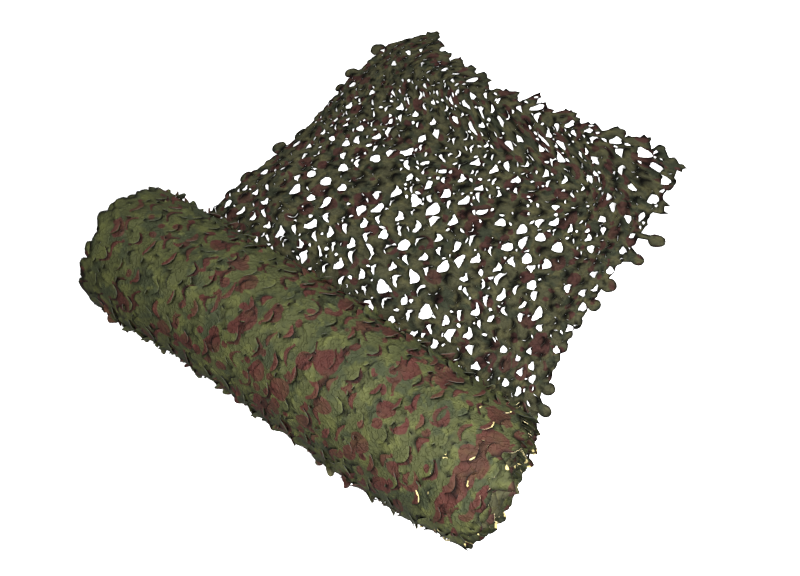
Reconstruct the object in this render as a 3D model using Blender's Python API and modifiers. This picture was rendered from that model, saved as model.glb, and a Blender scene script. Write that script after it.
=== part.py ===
"""Camouflage net: a bulk roll of leaf-cut netting with its loose end rolled out on the floor.

Metres, +Z up. The roll lies on its side with its axis along X. The origin is the middle of the
flat spot that the roll rests on, and the loose end leaves the roll there and lies along +Y.
The net is one cut length. Its wound form is one solid, and the loose end is one sheet.
"""

import math
from typing import NamedTuple

import bmesh
import bpy
import numpy as np
from mathutils import Matrix, Vector
from mathutils.geometry import delaunay_2d_cdt, intersect_point_line

# ---------------------------------------------------------------- driving dimensions

NET_WIDTH = 1.50  # the net from edge to edge, and so the roll's length
ROLL_DIAMETER = 0.445  # about 78 m of net, each turn near 2 mm
FLAT_DEPTH = 0.003  # how far the roll's own weight flattens its underside
TURN_STEP = 0.003  # the outer turn's edge, where it leaves the roll
SHEET_THICKNESS = 0.003
CLEARANCE = 0.0003  # between the roll and the loose end

CELL_ACROSS = 0.081  # the cutting die's repeat, across the net and along it
CELL_ALONG = 0.100
CUT_CHORD = 0.064  # a leaf's cut from tip to tip, which runs along the net
CUT_SAGITTA = 0.020  # how far the cut bows out sideways
FIRST_CUT = (0.25, 0.10)  # where the lattice's first cut sits in its cell, in repeats
SECOND_CUT = (0.58, 0.53)  # how far the opposite cut lies from it, in repeats
LARGE_GAP = 0.0235  # a gap at least this wide in the middle is cut right through
WIDEST_GAP = 0.038
GAP_ROWS = range(2, 17)  # rows of the lattice that lie clear of the roll
GAP_LIMITS = (0.965, 1.54)  # no gap is cut nearer to the right edge or the far edge than this

ROLL_RADIUS = ROLL_DIAMETER / 2
AXIS_HEIGHT = ROLL_RADIUS - FLAT_DEPTH
ROLL_SEGMENTS = 48
ROLL_STATIONS = 20
UNDERSIDE_BLEND = (20, 55)  # degrees from the underside over which the roll turns uneven
SHEET_SPACING = 0.056  # between the points that carry the folds
ROW_SPACING = SHEET_SPACING * math.sqrt(3) / 2  # staggered rows of such points
EDGE_MARGIN = SHEET_SPACING * 0.42  # how near an edge such a point may lie
SCALLOP = 0.004  # the side edges' small waves, one to each row of leaves
RIGHT_EDGE_TOP = 1.50  # where the side edges end and the torn far edge begins
LEFT_EDGE_TOP = 1.56


# ---------------------------------------------------------------- short tables


class Wave(NamedTuple):
    """A slow swell of the roll's surface: cycles along it, cycles round it, height and phase."""

    along: float
    around: int
    height: float
    phase: float


class EndRing(NamedTuple):
    """A band of turns on the roll's ends: its outer radius and how far each end stands out."""

    radius_share: float
    left_out: float
    right_out: float


class SideStation(NamedTuple):
    """Where the loose end's two side edges run, at one distance from the roll."""

    y: float
    left_x: float
    right_x: float


class TornTip(NamedTuple):
    """One torn point of the far edge, and the notch on its right."""

    tip_x: float
    tip_y: float
    notch_x: float
    notch_y: float


class EdgeLeaf(NamedTuple):
    """A leaf that stands out of a side edge: its place along it, its reach and its width."""

    y: float
    reach: float
    width: float


class Gather(NamedTuple):
    """Where the net is drawn together across its width, or spread if drawn is negative."""

    across: float
    y: float
    half_across: float
    half_along: float
    drawn: float


class Fold(NamedTuple):
    """A soft ridge of the loose end, along a straight line on the floor."""

    x0: float
    y0: float
    x1: float
    y1: float
    half_width: float
    height: float


ROLL_WAVES = (
    Wave(1.3, 1, 0.0030, 0.4),
    Wave(2.6, 2, 0.0025, 2.1),
    Wave(5.2, 3, 0.0022, 4.4),
    Wave(9.1, 5, 0.0016, 1.2),
)

END_RINGS = (
    EndRing(0.92, 0.004, -0.002),
    EndRing(0.78, 0.012, 0.006),
    EndRing(0.60, 0.005, -0.004),
    EndRing(0.42, 0.014, 0.008),
    EndRing(0.24, 0.002, -0.006),
)
END_CENTRE_OUT = -0.016  # the winding's eye is drawn in at both ends

SIDE_STATIONS = (
    SideStation(0.00, -0.745, 0.745),
    SideStation(0.20, -0.775, 0.715),
    SideStation(0.36, -0.800, 0.655),
    SideStation(0.60, -0.798, 0.622),
    SideStation(0.88, -0.762, 0.618),
    SideStation(1.08, -0.770, 0.630),
    SideStation(1.30, -0.790, 0.625),
    SideStation(1.54, -0.772, 0.618),
    SideStation(1.80, -0.740, 0.610),
)

FAR_TIPS = (
    TornTip(-0.635, 1.745, -0.605, 1.700),
    TornTip(-0.570, 1.688, -0.550, 1.640),
    TornTip(-0.500, 1.662, -0.475, 1.615),
    TornTip(-0.448, 1.665, -0.400, 1.615),
    TornTip(-0.365, 1.635, -0.335, 1.600),
    TornTip(-0.310, 1.632, -0.245, 1.540),
    TornTip(-0.145, 1.592, -0.095, 1.545),
    TornTip(-0.055, 1.640, -0.025, 1.575),
    TornTip(0.000, 1.605, 0.045, 1.560),
    TornTip(0.112, 1.622, 0.175, 1.575),
    TornTip(0.240, 1.602, 0.275, 1.580),
    TornTip(0.312, 1.640, 0.360, 1.595),
    TornTip(0.445, 1.652, 0.480, 1.590),
    TornTip(0.515, 1.636, 0.560, 1.585),
    TornTip(0.650, 1.576, 0.612, 1.535),
)

LEFT_SHOULDER = ((-0.690, 1.672), (-0.735, 1.615))  # the far left corner's slope

LEFT_LEAVES = (
    EdgeLeaf(0.500, 0.012, 0.060),
    EdgeLeaf(0.600, 0.020, 0.065),
    EdgeLeaf(0.795, 0.042, 0.070),
    EdgeLeaf(0.900, 0.014, 0.070),
    EdgeLeaf(1.215, 0.026, 0.060),
    EdgeLeaf(1.315, 0.036, 0.072),
    EdgeLeaf(1.500, 0.048, 0.085),
)

RIGHT_LEAVES = (
    EdgeLeaf(0.410, 0.022, 0.070),
    EdgeLeaf(0.580, 0.010, 0.060),
    EdgeLeaf(0.790, 0.028, 0.070),
    EdgeLeaf(0.900, 0.028, 0.075),
    EdgeLeaf(1.060, 0.052, 0.060),
    EdgeLeaf(1.195, 0.060, 0.066),
    EdgeLeaf(1.345, 0.046, 0.080),
    EdgeLeaf(1.450, 0.014, 0.080),
)

GATHERS = (
    Gather(0.07, 0.95, 0.11, 0.95, 0.42),
    Gather(0.20, 1.48, 0.20, 0.22, 0.40),
    Gather(0.40, 1.42, 0.10, 0.14, 0.22),
    Gather(0.87, 0.38, 0.10, 0.20, 0.38),
    Gather(0.96, 0.85, 0.06, 0.50, 0.30),
    Gather(0.83, 1.26, 0.06, 0.17, 0.60),
    Gather(0.92, 1.54, 0.08, 0.13, -0.70),
    Gather(0.48, 0.60, 0.16, 0.35, -0.25),
)

FOLDS = (
    Fold(0.330, 1.470, 0.500, 1.200, 0.055, 0.022),
    Fold(0.420, 1.440, 0.590, 1.060, 0.050, 0.018),
    Fold(0.560, 1.060, 0.585, 0.720, 0.050, 0.010),
    Fold(-0.690, 1.560, -0.720, 1.150, 0.055, 0.016),
    Fold(-0.560, 1.600, -0.610, 1.240, 0.050, 0.013),
    Fold(-0.700, 1.080, -0.700, 0.640, 0.060, 0.010),
    Fold(-0.440, 1.540, -0.240, 1.400, 0.055, 0.012),
    Fold(-0.480, 1.400, -0.330, 1.230, 0.050, 0.009),
    Fold(0.340, 0.400, 0.560, 0.460, 0.060, 0.011),
    Fold(-0.620, 0.560, -0.430, 0.400, 0.055, 0.008),
)

GREEN = (0.075, 0.105, 0.050, 1.0)
DARK_GREEN = (0.045, 0.058, 0.030, 1.0)


# ---------------------------------------------------------------- the roll


def roll_radius(x, angle):
    """The roll's radius at x along it and angle round it, from +Y towards +Z.

    The swells and the turn's step die out near the underside, so that the flat spot stays flat.
    """
    turned = (angle + math.radians(90)) % math.tau
    from_floor = min(turned, math.tau - turned)
    free = float(np.interp(from_floor, np.radians(UNDERSIDE_BLEND), [0.0, 1.0]))
    swell = sum(
        w.height * math.sin(math.tau * w.along * x / NET_WIDTH + w.around * angle + w.phase)
        for w in ROLL_WAVES
    )
    wound_in = TURN_STEP * (1 - turned / math.tau)
    return ROLL_RADIUS + (swell - wound_in) * free


def ragged(angle, side):
    """How far the leaves of the turns' edges stand out of an end, at one angle round it."""
    slow = math.sin(3 * angle + 1.3 * side)
    quick = math.sin(8 * angle + 2.1 * side)
    return 0.010 + 0.006 * slow + 0.006 * quick


def make_roll():
    """The wound net: a drum with swells, a turn's step, uneven ends and a flat underside."""
    bm = bmesh.new()
    bmesh.ops.create_cone(
        bm,
        cap_ends=True,
        segments=ROLL_SEGMENTS,
        radius1=ROLL_RADIUS,
        radius2=ROLL_RADIUS,
        depth=NET_WIDTH,
        matrix=Matrix.Rotation(math.radians(90), 4, "Y"),
    )
    lengthwise = [e for e in bm.edges if abs(e.verts[0].co.x - e.verts[1].co.x) > NET_WIDTH / 2]
    bmesh.ops.subdivide_edges(bm, edges=lengthwise, cuts=ROLL_STATIONS - 1)
    for cap in [f for f in bm.faces if len(f.verts) == ROLL_SEGMENTS]:
        inner = 1.0
        for ring in END_RINGS:
            step = (inner - ring.radius_share) * ROLL_RADIUS
            bmesh.ops.inset_individual(bm, faces=[cap], thickness=step, use_even_offset=True)
            inner = ring.radius_share
        bmesh.ops.poke(bm, faces=[cap])
    for vert in bm.verts:
        shape_roll_point(vert)
    return bm


def shape_roll_point(vert):
    """Moves one point of the plain drum to its place on the wound net."""
    x, y, z = vert.co
    share = math.hypot(y, z) / ROLL_RADIUS
    angle = math.atan2(z, y)
    radius = roll_radius(x, angle) * share
    side = math.copysign(1, x)
    if abs(x) > NET_WIDTH / 2 - 1e-4:
        shares = [0.0, *(r.radius_share for r in reversed(END_RINGS)), 1.0]
        pushes = [r.left_out if side < 0 else r.right_out for r in reversed(END_RINGS)]
        out = float(np.interp(share, shares, [END_CENTRE_OUT, *pushes, 0.0]))
        x += side * (out + ragged(angle, side) * share)
    height = AXIS_HEIGHT + radius * math.sin(angle)
    vert.co = (x, radius * math.cos(angle), max(0.0, height))


# ---------------------------------------------------------------- the loose end's cutting pattern


def noise(column, row, cut):
    """A fixed number from 0 to 1 for one cut of the lattice."""
    mixed = math.sin(column * 12.9898 + row * 78.233 + cut * 37.719) * 43758.5453
    return abs(mixed) % 1.0


def width_share(across, y):
    """How wide the net lies at this place, against its mean: under 1 where it is gathered."""
    share = np.ones_like(across)
    for g in GATHERS:
        reach = ((across - g.across) / g.half_across) ** 2 + ((y - g.y) / g.half_along) ** 2
        share = share - g.drawn * np.exp(-reach)
    return share


def side_edges(y):
    """The x of the loose end's left and right side edges at y."""
    stations = [s.y for s in SIDE_STATIONS]
    left = float(np.interp(y, stations, [s.left_x for s in SIDE_STATIONS]))
    right = float(np.interp(y, stations, [s.right_x for s in SIDE_STATIONS]))
    return left, right


def lay_out(across, y):
    """The x of a point that is this share of the net's width from its left edge."""
    steps = np.linspace(0.0, 1.0, 61)
    widths = width_share((steps[1:] + steps[:-1]) / 2, y)
    sums = np.concatenate([[0.0], np.cumsum(widths)])
    left, right = side_edges(y)
    return left + (right - left) * float(np.interp(across, steps, sums / sums[-1]))


def gap_width(column, row, cut, across, y):
    """How wide a leaf's gap has opened: wider where the net is spread, and uneven by itself."""
    spread = float(width_share(np.array([across]), y)[0])
    opened = max(0.0, 1.25 * spread**2 - 0.25)
    return min(WIDEST_GAP, opened * (0.008 + 0.026 * noise(column, row, cut)))


def gap_outline(across, y, cut, width):
    """The edge of one gap: the bowed cut on one side, its curled leaf on the other."""
    bow = -1 if cut == 0 else 1
    loop = []
    for share in (-0.96, -0.55, 0.0, 0.55, 0.96):
        loop.append((bow * CUT_SAGITTA * (1 - share**2), share * CUT_CHORD / 2))
    for share in (0.60, 0.0, -0.60):
        back = CUT_SAGITTA - width
        loop.append((bow * back * (1 - share**2), share * CUT_CHORD / 2))
    if cut == 0:
        loop.reverse()
    return [(lay_out(across, y + dy) + dx, y + dy) for dx, dy in loop]


def large_gaps():
    """The outlines of the net's largest gaps, over the whole lattice of the loose end."""
    columns = round(NET_WIDTH / CELL_ACROSS)
    gaps = []
    for row in GAP_ROWS:
        for column in range(columns):
            for cut, (shift_across, shift_along) in enumerate(((0.0, 0.0), SECOND_CUT)):
                across = (column + FIRST_CUT[0] + shift_across) / columns
                y = (row + FIRST_CUT[1] + shift_along) * CELL_ALONG
                width = gap_width(column, row, cut, across, y)
                if width >= LARGE_GAP and across < GAP_LIMITS[0] and y < GAP_LIMITS[1]:
                    gaps.append(gap_outline(across, y, cut, width))
    return gaps


# ---------------------------------------------------------------- the loose end's outline


def leaf_reach(y, leaves):
    """How far a side edge stands out at y, beyond its mean line, because of its leaves."""
    reach = 0.0
    for leaf in leaves:
        off = (y - leaf.y) / (leaf.width / 2)
        if abs(off) < 1:
            reach = max(reach, leaf.reach * math.sqrt(1 - off**2))
    return reach


def side_points(start, stop, leaves):
    """The y of each point of a side edge: round each leaf, and evenly between them."""
    marks = list(np.arange(start, stop, CELL_ALONG / 2))
    for leaf in leaves:
        marks = [m for m in marks if abs(m - leaf.y) > leaf.width / 2 + 0.006]
        marks += [leaf.y + leaf.width / 2 * s for s in (-1.0, -0.85, -0.45, 0.0, 0.45, 0.85, 1.0)]
    return sorted(m for m in marks if start <= m <= stop)


def outline(start_y):
    """The loose end's whole edge, anticlockwise from the corner at the roll's right end."""
    points = []
    for y in side_points(start_y, RIGHT_EDGE_TOP, RIGHT_LEAVES):
        x = side_edges(y)[1] + leaf_reach(y, RIGHT_LEAVES)
        points.append((x + SCALLOP * math.sin(math.tau * y / CELL_ALONG), y))
    for tip in reversed(FAR_TIPS):
        points += [(tip.notch_x, tip.notch_y), (tip.tip_x, tip.tip_y)]
    points += LEFT_SHOULDER
    for y in reversed(side_points(start_y, LEFT_EDGE_TOP, LEFT_LEAVES)):
        x = side_edges(y)[0] - leaf_reach(y, LEFT_LEAVES)
        points.append((x - SCALLOP * math.sin(math.tau * y / CELL_ALONG), y))
    return points


# ---------------------------------------------------------------- the loose end's sheet


def distance_to(point, start, stop):
    """How far a point lies from the straight line between two others."""
    _, share = intersect_point_line(point, start, stop)
    return (point - start.lerp(stop, min(1.0, max(0.0, share)))).length


def lift(x, y):
    """How high the sheet's underside stands off the floor at a place."""
    height = 0.0
    for fold in FOLDS:
        start, stop = Vector((fold.x0, fold.y0)), Vector((fold.x1, fold.y1))
        off = distance_to(Vector((x, y)), start, stop) / fold.half_width
        if off < 1:
            height = max(height, fold.height * (1 - off**2) ** 2)
    return height


def clear_of_edges(point, loops):
    """True where the point is far enough from every edge of these loops."""
    for loop in loops:
        corners = [Vector(p) for p in loop]
        for start, stop in zip(corners, corners[1:] + corners[:1]):
            if distance_to(point, start, stop) < EDGE_MARGIN:
                return False
    return True


def spread_points(loops):
    """Even points between the edges, in staggered rows, which let the sheet take its folds."""
    xs, ys = zip(*loops[0])
    points = []
    for row, y in enumerate(np.arange(min(ys), max(ys), ROW_SPACING)):
        shift = SHEET_SPACING / 2 if row % 2 else 0.0
        for x in np.arange(min(xs), max(xs), SHEET_SPACING):
            point = Vector((float(x) + shift, float(y)))
            if clear_of_edges(point, loops):
                points.append(point)
    return points


def loose_start():
    """The y where the loose end begins: its top edge just clears the roll's facet above it."""
    facet = math.tau / ROLL_SEGMENTS
    near_y = ROLL_RADIUS * math.sin(facet)
    far_y = ROLL_RADIUS * math.sin(2 * facet)
    slope = (AXIS_HEIGHT - ROLL_RADIUS * math.cos(2 * facet)) / (far_y - near_y)
    return near_y + (SHEET_THICKNESS + CLEARANCE * math.hypot(1, slope)) / slope


def make_loose_end():
    """The loose end: a flat sheet cut to its outline and gaps, laid over its folds."""
    loops = [outline(loose_start()), *large_gaps()]
    points, faces = [], []
    for loop in loops:
        faces.append(list(range(len(points), len(points) + len(loop))))
        points += [Vector(p) for p in loop]
    points += spread_points(loops)
    places, _, triangles, _, _, inside = delaunay_2d_cdt(points, [], faces, 1, 1e-6)
    bm = bmesh.new()
    verts = [bm.verts.new((p.x, p.y, lift(p.x, p.y))) for p in places]
    for corners, regions in zip(triangles, inside):
        if regions == [0]:
            bm.faces.new([verts[i] for i in corners])
    bmesh.ops.delete(bm, geom=[v for v in bm.verts if not v.link_faces], context="VERTS")
    bmesh.ops.recalc_face_normals(bm, faces=bm.faces)
    if sum(f.normal.z for f in bm.faces) < 0:
        bmesh.ops.reverse_faces(bm, faces=bm.faces)
    return bm


# ---------------------------------------------------------------- objects


def material(name, colour):
    """A matt cloth finish."""
    made = bpy.data.materials.new(name)
    made.use_nodes = True
    shader = made.node_tree.nodes["Principled BSDF"]
    shader.inputs["Base Color"].default_value = colour
    shader.inputs["Roughness"].default_value = 0.75
    shader.inputs["Metallic"].default_value = 0.0
    return made


def add_object(name, bm, colour, collection):
    """One named piece of the net, with its own material."""
    mesh = bpy.data.meshes.new(name)
    bm.to_mesh(mesh)
    bm.free()
    piece = bpy.data.objects.new(name, mesh)
    mesh.materials.append(material(name, colour))
    collection.objects.link(piece)
    return piece


def main():
    for old in list(bpy.data.objects):
        bpy.data.objects.remove(old, do_unlink=True)
    collection = bpy.data.collections.new("camouflage_net")
    bpy.context.scene.collection.children.link(collection)

    roll = add_object("net_roll", make_roll(), GREEN, collection)
    roll.data.shade_smooth()
    roll.data.set_sharp_from_angle(angle=math.radians(50))

    loose = add_object("net_loose_end", make_loose_end(), DARK_GREEN, collection)
    thicken = loose.modifiers.new("thickness", "SOLIDIFY")
    thicken.thickness = SHEET_THICKNESS
    thicken.offset = 1.0


main()
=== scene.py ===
"""Looks of the camouflage net: a roll of leaf-cut cloth with its loose end laid out behind it.

Metres, +Z up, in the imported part's own frame: the roll's axis runs along X, the origin is the
middle of the flat spot under it, and the loose end leaves the roll there and lies along +Y.
A place on the flat net is (u, v): u runs across it from its left edge, and v along it, from the
line where it leaves the roll. The loose end has v above nought, and the turns below it.
A pair of numbers called a range is the least value and how much more it may be.
"""

import logging
import math
from collections.abc import Callable
from dataclasses import dataclass
from enum import Enum
from typing import NamedTuple

import bpy
import numpy as np
from mathutils import Matrix, Vector
from mathutils.geometry import delaunay_2d_cdt
from mathutils.kdtree import KDTree

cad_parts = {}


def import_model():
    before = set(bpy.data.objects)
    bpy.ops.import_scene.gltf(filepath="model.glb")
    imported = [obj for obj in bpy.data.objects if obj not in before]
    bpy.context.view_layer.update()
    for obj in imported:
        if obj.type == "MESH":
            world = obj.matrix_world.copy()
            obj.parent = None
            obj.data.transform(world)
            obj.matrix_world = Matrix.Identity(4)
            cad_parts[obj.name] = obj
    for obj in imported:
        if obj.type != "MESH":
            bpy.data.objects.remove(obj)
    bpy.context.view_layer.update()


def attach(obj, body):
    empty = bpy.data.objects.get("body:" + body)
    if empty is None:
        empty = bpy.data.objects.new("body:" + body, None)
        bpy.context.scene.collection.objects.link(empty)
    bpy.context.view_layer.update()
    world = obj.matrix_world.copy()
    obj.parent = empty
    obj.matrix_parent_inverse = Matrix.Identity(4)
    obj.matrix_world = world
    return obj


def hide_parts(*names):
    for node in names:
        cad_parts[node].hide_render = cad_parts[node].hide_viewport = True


LOG = logging.getLogger("camouflage_net")

NET_WIDTH = 1.50
ROLL_DIAMETER = 0.445
ROLL_RADIUS = ROLL_DIAMETER / 2
FLAT_DEPTH = 0.003  # how much is flattened under the roll
AXIS_HEIGHT = ROLL_RADIUS - FLAT_DEPTH
TURN_STEP = 0.003  # at the outer turn's edge
CLOTH = 0.0009  # the coated cloth's thickness
LOWEST = CLOTH + 0.0002  # the least height of a sheet's upper side
INNER_LOWEST = 0.004  # and of the turns inside
UV_NAME = "net"  # the map of places on the flat net, in metres
NOISE_CELLS = 64  # from one repeat of the noise to the next
NOISE_START = 17.3  # keeps its origin off the net
LINE_STEP = 0.003  # between the points that nearness to an outline is measured from

Array = np.ndarray
Pair = tuple[float, float]
Range = tuple[float, float]
Point = tuple[float, float, float]
Colour = tuple[float, float, float]
Corners = list[Pair]
Material = bpy.types.Material
Mesh = bpy.types.Mesh
Node = bpy.types.Node
Outputs = bpy.types.NodeOutputs
Piece = bpy.types.Object
Socket = bpy.types.NodeSocket
Tree = bpy.types.NodeTree
Value = Socket | float | tuple[float, ...]


class ClothSide(Enum):
    """The two sides of the cloth, which are printed in different strengths."""

    FACE = "face"
    REVERSE = "reverse"


class RollEnd(Enum):
    """The two ends of the roll, and the net's two side edges, by the sign of their x."""

    LEFT = -1
    RIGHT = 1


class Patch(NamedTuple):
    """A soft oval place: its middle, its half sizes and how much it changes."""

    x: float
    y: float
    half_x: float
    half_y: float
    amount: float

    def off(self, x: Array | float, y: Array | float) -> Array | float:
        """The square of the distance from its middle, counted in its half sizes."""
        return ((x - self.x) / self.half_x) ** 2 + ((y - self.y) / self.half_y) ** 2


class BothSides(NamedTuple):
    """A value at the net's left side and at its right, at one station."""

    station: float
    left: float
    right: float


def table(kind: type, *rows: tuple) -> tuple:
    """Makes rows of numbers into a table of one kind."""
    return tuple(kind(*row) for row in rows)


def read_side(rows: tuple[BothSides, ...], station: Array | float, end: RollEnd) -> Array:
    """The value at one side, between the rows of a table."""
    values = [row.right if end is RollEnd.RIGHT else row.left for row in rows]
    return np.interp(station, [row.station for row in rows], values)


def across_net(v: float, first: float, last: float) -> Corners:
    """Corners straight across the net, from one share of its width to another."""
    return [(NET_WIDTH * share, v) for share in np.linspace(first, last, 60)]


def within(span: Range, luck: float) -> float:
    """A value inside a range, as far up it as the luck says."""
    return span[0] + span[1] * luck


def blend(first: Array, second: Array, share: Array) -> Array:
    """So large a share of the second, and the rest of the first."""
    return first * (1 - share) + second * share


# ---- noise


def smooth_noise(places: Array, wavelength: float, seed: int) -> Array:
    """Reads an even, rolling noise at places on a plane.

    Args:
        places: Rows of (u, v).
        wavelength: Its swells' size.
        seed: Which noise it is.

    Returns:
        One number from -1 to 1 for each place.
    """
    cells = np.random.default_rng(seed).uniform(-1.0, 1.0, (NOISE_CELLS, NOISE_CELLS))
    scaled = places / wavelength + NOISE_START
    corner = np.floor(scaled).astype(int)
    part = scaled - corner
    part = part * part * (3.0 - 2.0 * part)
    i, j = corner[:, 0] % NOISE_CELLS, corner[:, 1] % NOISE_CELLS
    near, far = (i + 1) % NOISE_CELLS, (j + 1) % NOISE_CELLS
    low = blend(cells[i, j], cells[near, j], part[:, 0])
    high = blend(cells[i, far], cells[near, far], part[:, 0])
    return blend(low, high, part[:, 1])


def swells(places: Array, *parts: tuple[float, float, int]) -> Array:
    """The sum of some noises, each given by its height, its wavelength and its seed."""
    return sum(height * smooth_noise(places, wavelength, seed) for height, wavelength, seed in parts)


def smooth_step(low: float, high: float, value: Array | float) -> Array:
    """Rises softly from 0 at low to 1 at high."""
    share = np.clip((value - low) / (high - low), 0.0, 1.0)
    return share * share * (3.0 - 2.0 * share)


def fixed_noise(column: int, row: int, kind: int) -> float:
    """A number from 0 to 1 for each cut of the lattice, the same at each run."""
    mixed = math.sin(column * 12.9898 + row * 78.233 + kind * 37.719) * 43758.5453
    return abs(mixed) % 1.0


# ---- the cutting pattern


class CutKind(NamedTuple):
    """How finely the cuts of one kind are drawn, and how far they move the cloth."""

    arc: Array  # shares of the half chord
    rows: tuple[tuple[float, Array], ...]  # beside it: their depth and shares
    line: int  # points that nearness to it is measured from
    reach: float  # from its middle to where the cloth stays still
    open_length: float  # how much of an opened leaf moves
    shut_length: float  # how much of a shut leaf moves


MAIN_KIND = CutKind(
    np.array([-1.0, -0.82, -0.56, -0.28, 0.0, 0.28, 0.56, 0.82, 1.0]),
    (
        (0.0060, np.array([-0.66, -0.34, 0.0, 0.34, 0.66])),
        (0.0140, np.array([-0.48, -0.16, 0.16, 0.48])),
        (-0.0070, np.array([-0.80, -0.42, 0.0, 0.42, 0.80])),
    ),
    25, 0.085, 0.055, 0.026,
)
SMALL_KIND = CutKind(
    np.array([-1.0, -0.45, 0.45, 1.0]),
    ((0.0050, np.array([-0.3, 0.3])), (-0.0050, np.array([-0.3, 0.3]))),
    9, 0.035, 0.016, 0.016,
)


@dataclass
class Cut:
    """One bowed cut in the net, and what the leaf inside it does."""

    u: float  # the middle of its chord
    v: float
    chord: float
    sagitta: float  # how far it bows
    bow: int  # -1 if it bows towards -u, or +1
    luck: Array  # its own numbers from 0 to 1
    main: bool  # one of the two large cuts of each repeat
    turn: float = 0.0  # from the net's length, in radians
    leaf_depth: float = 0.030  # how much of it curls
    drawn: float = 0.0  # how far its leaf draws back, or below nought lies over its neighbour
    raised: float = 0.0  # how high its leaf stands
    skew: float = 0.0  # how much more its far half moves
    narrow: float = 1.0  # a power that keeps its opening narrow
    pushed: float = 0.0  # how far the cloth outside it draws away
    rim_shade: float = 1.0  # how strongly its rim of painted shade shows
    curled: float = 0.55  # the share of its draw that is a curl

    @property
    def kind(self) -> CutKind:
        """Which kind of cut it is."""
        return MAIN_KIND if self.main else SMALL_KIND

    @property
    def out(self) -> Array:
        """The way that it bows."""
        return self.bow * np.array([math.cos(self.turn), math.sin(self.turn)])

    @property
    def along(self) -> Array:
        """The way that its chord runs."""
        return np.array([-math.sin(self.turn), math.cos(self.turn)])

    def points(self, shares: Array, depth: float = 0.0) -> Array:
        """Finds places at one depth inside the leaf.

        Args:
            shares: Their shares of the half chord.
            depth: How deep they lie.

        Returns:
            The places, as rows.
        """
        bowed = self.sagitta * (1 - shares**2) - depth
        middle = np.array([self.u, self.v])
        return middle + bowed[:, None] * self.out + (shares * self.chord / 2)[:, None] * self.along

    def measure(self, places: Array) -> tuple[Array, Array]:
        """Measures where places lie against the cut.

        Args:
            places: The places, as rows.

        Returns:
            How deep inside the leaf each is, and its share of the half chord.
        """
        off = places - [self.u, self.v]
        share = off @ self.along / (self.chord / 2)
        return self.sagitta * (1 - share**2) - off @ self.out, share


@dataclass(frozen=True)
class CuttingDie:
    """The die that cuts the leaves: two large opposite cuts in each repeat, and small ones between."""

    columns: int = 19
    cell_along: float = 0.100
    chord: float = 0.064
    sagitta: float = 0.020
    main_places: tuple[Pair, ...] = ((0.25, 0.10), (0.58, 0.53))
    small_places: tuple[Pair, ...] = (
        (0.05, 0.60), (0.80, 0.03), (0.42, 0.31), (0.42, 0.82),
        (0.25, 0.60), (0.58, 0.03), (0.93, 0.26), (0.92, 0.84),
    )
    small_chord: Range = (0.012, 0.014)
    small_bow: Range = (0.1, 0.25)  # the sagitta's share of the chord
    small_stray: float = 0.006  # how far a small cut may lie from its place
    small_turn: float = math.radians(150)
    small_depth: float = 0.010

    def cuts(self, first_row: int, rows: int) -> list[Cut]:
        """Lays out the cuts of some rows, all closed.

        Args:
            first_row: The first lattice row.
            rows: How many rows there are.

        Returns:
            The cuts, the large ones first.
        """
        return [
            self._cut(kind, place, column, row)
            for kind, place in enumerate(self.main_places + self.small_places)
            for row in range(first_row, first_row + rows)
            for column in range(self.columns)
        ]

    def _cut(self, kind: int, place: Pair, column: int, row: int) -> Cut:
        """Makes one cut of the lattice.

        Args:
            kind: Which cut of its cell it is.
            place: Its place in the cell, in shares of it.
            column: The cell's column.
            row: The cell's row.

        Returns:
            The cut.
        """
        luck = np.random.default_rng((kind, column, row + 100)).random(10)
        luck[0] = fixed_noise(column, row, kind)
        u = (column + place[0]) * (NET_WIDTH / self.columns)
        v = (row + place[1]) * self.cell_along
        bow = -1 if kind % 2 == 0 else 1
        if kind < len(self.main_places):
            return Cut(u, v, self.chord, self.sagitta, bow, luck, True)
        chord = within(self.small_chord, luck[1])
        sagitta = chord * within(self.small_bow, luck[5])
        turn = self.small_turn * (luck[2] - 0.5)
        u += self.small_stray * (luck[3] - 0.5)
        v += self.small_stray * (luck[4] - 0.5)
        return Cut(u, v, chord, sagitta, bow, luck, False, turn, self.small_depth)


# ---- the flat net


class EdgeLook(NamedTuple):
    """How the cut edges of a sheet look, with the painted shade along them; where that value is below
    nought it is a painted highlight.
    """

    outer: float  # the painted shade outside a cut
    leaf: float  # and on its leaf, where below nought it is a painted highlight
    rim: float  # the width of the painted shade band
    ragged: float  # how far a point of a cut edge strays


@dataclass
class OpenedNet:
    """What the leaves' movements do to each point of a flat net."""

    shift: Array  # on the net
    height: Array  # off the net
    edge: Array  # painted shade, 1 at a cut edge and 0 a centimetre away; below nought a painted highlight
    tone: Array  # a leaf's own shade, from -1 to 1
    pale: Array  # 1 where a leaf's edge has lost its coating
    spot: Array  # above a half in a brown crescent

    def values(self) -> dict[str, Array]:
        """The numbers that the finishes read, by their attribute names."""
        return {f"leaf_{name}": getattr(self, name) for name in ("edge", "tone", "pale", "spot")}


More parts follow.
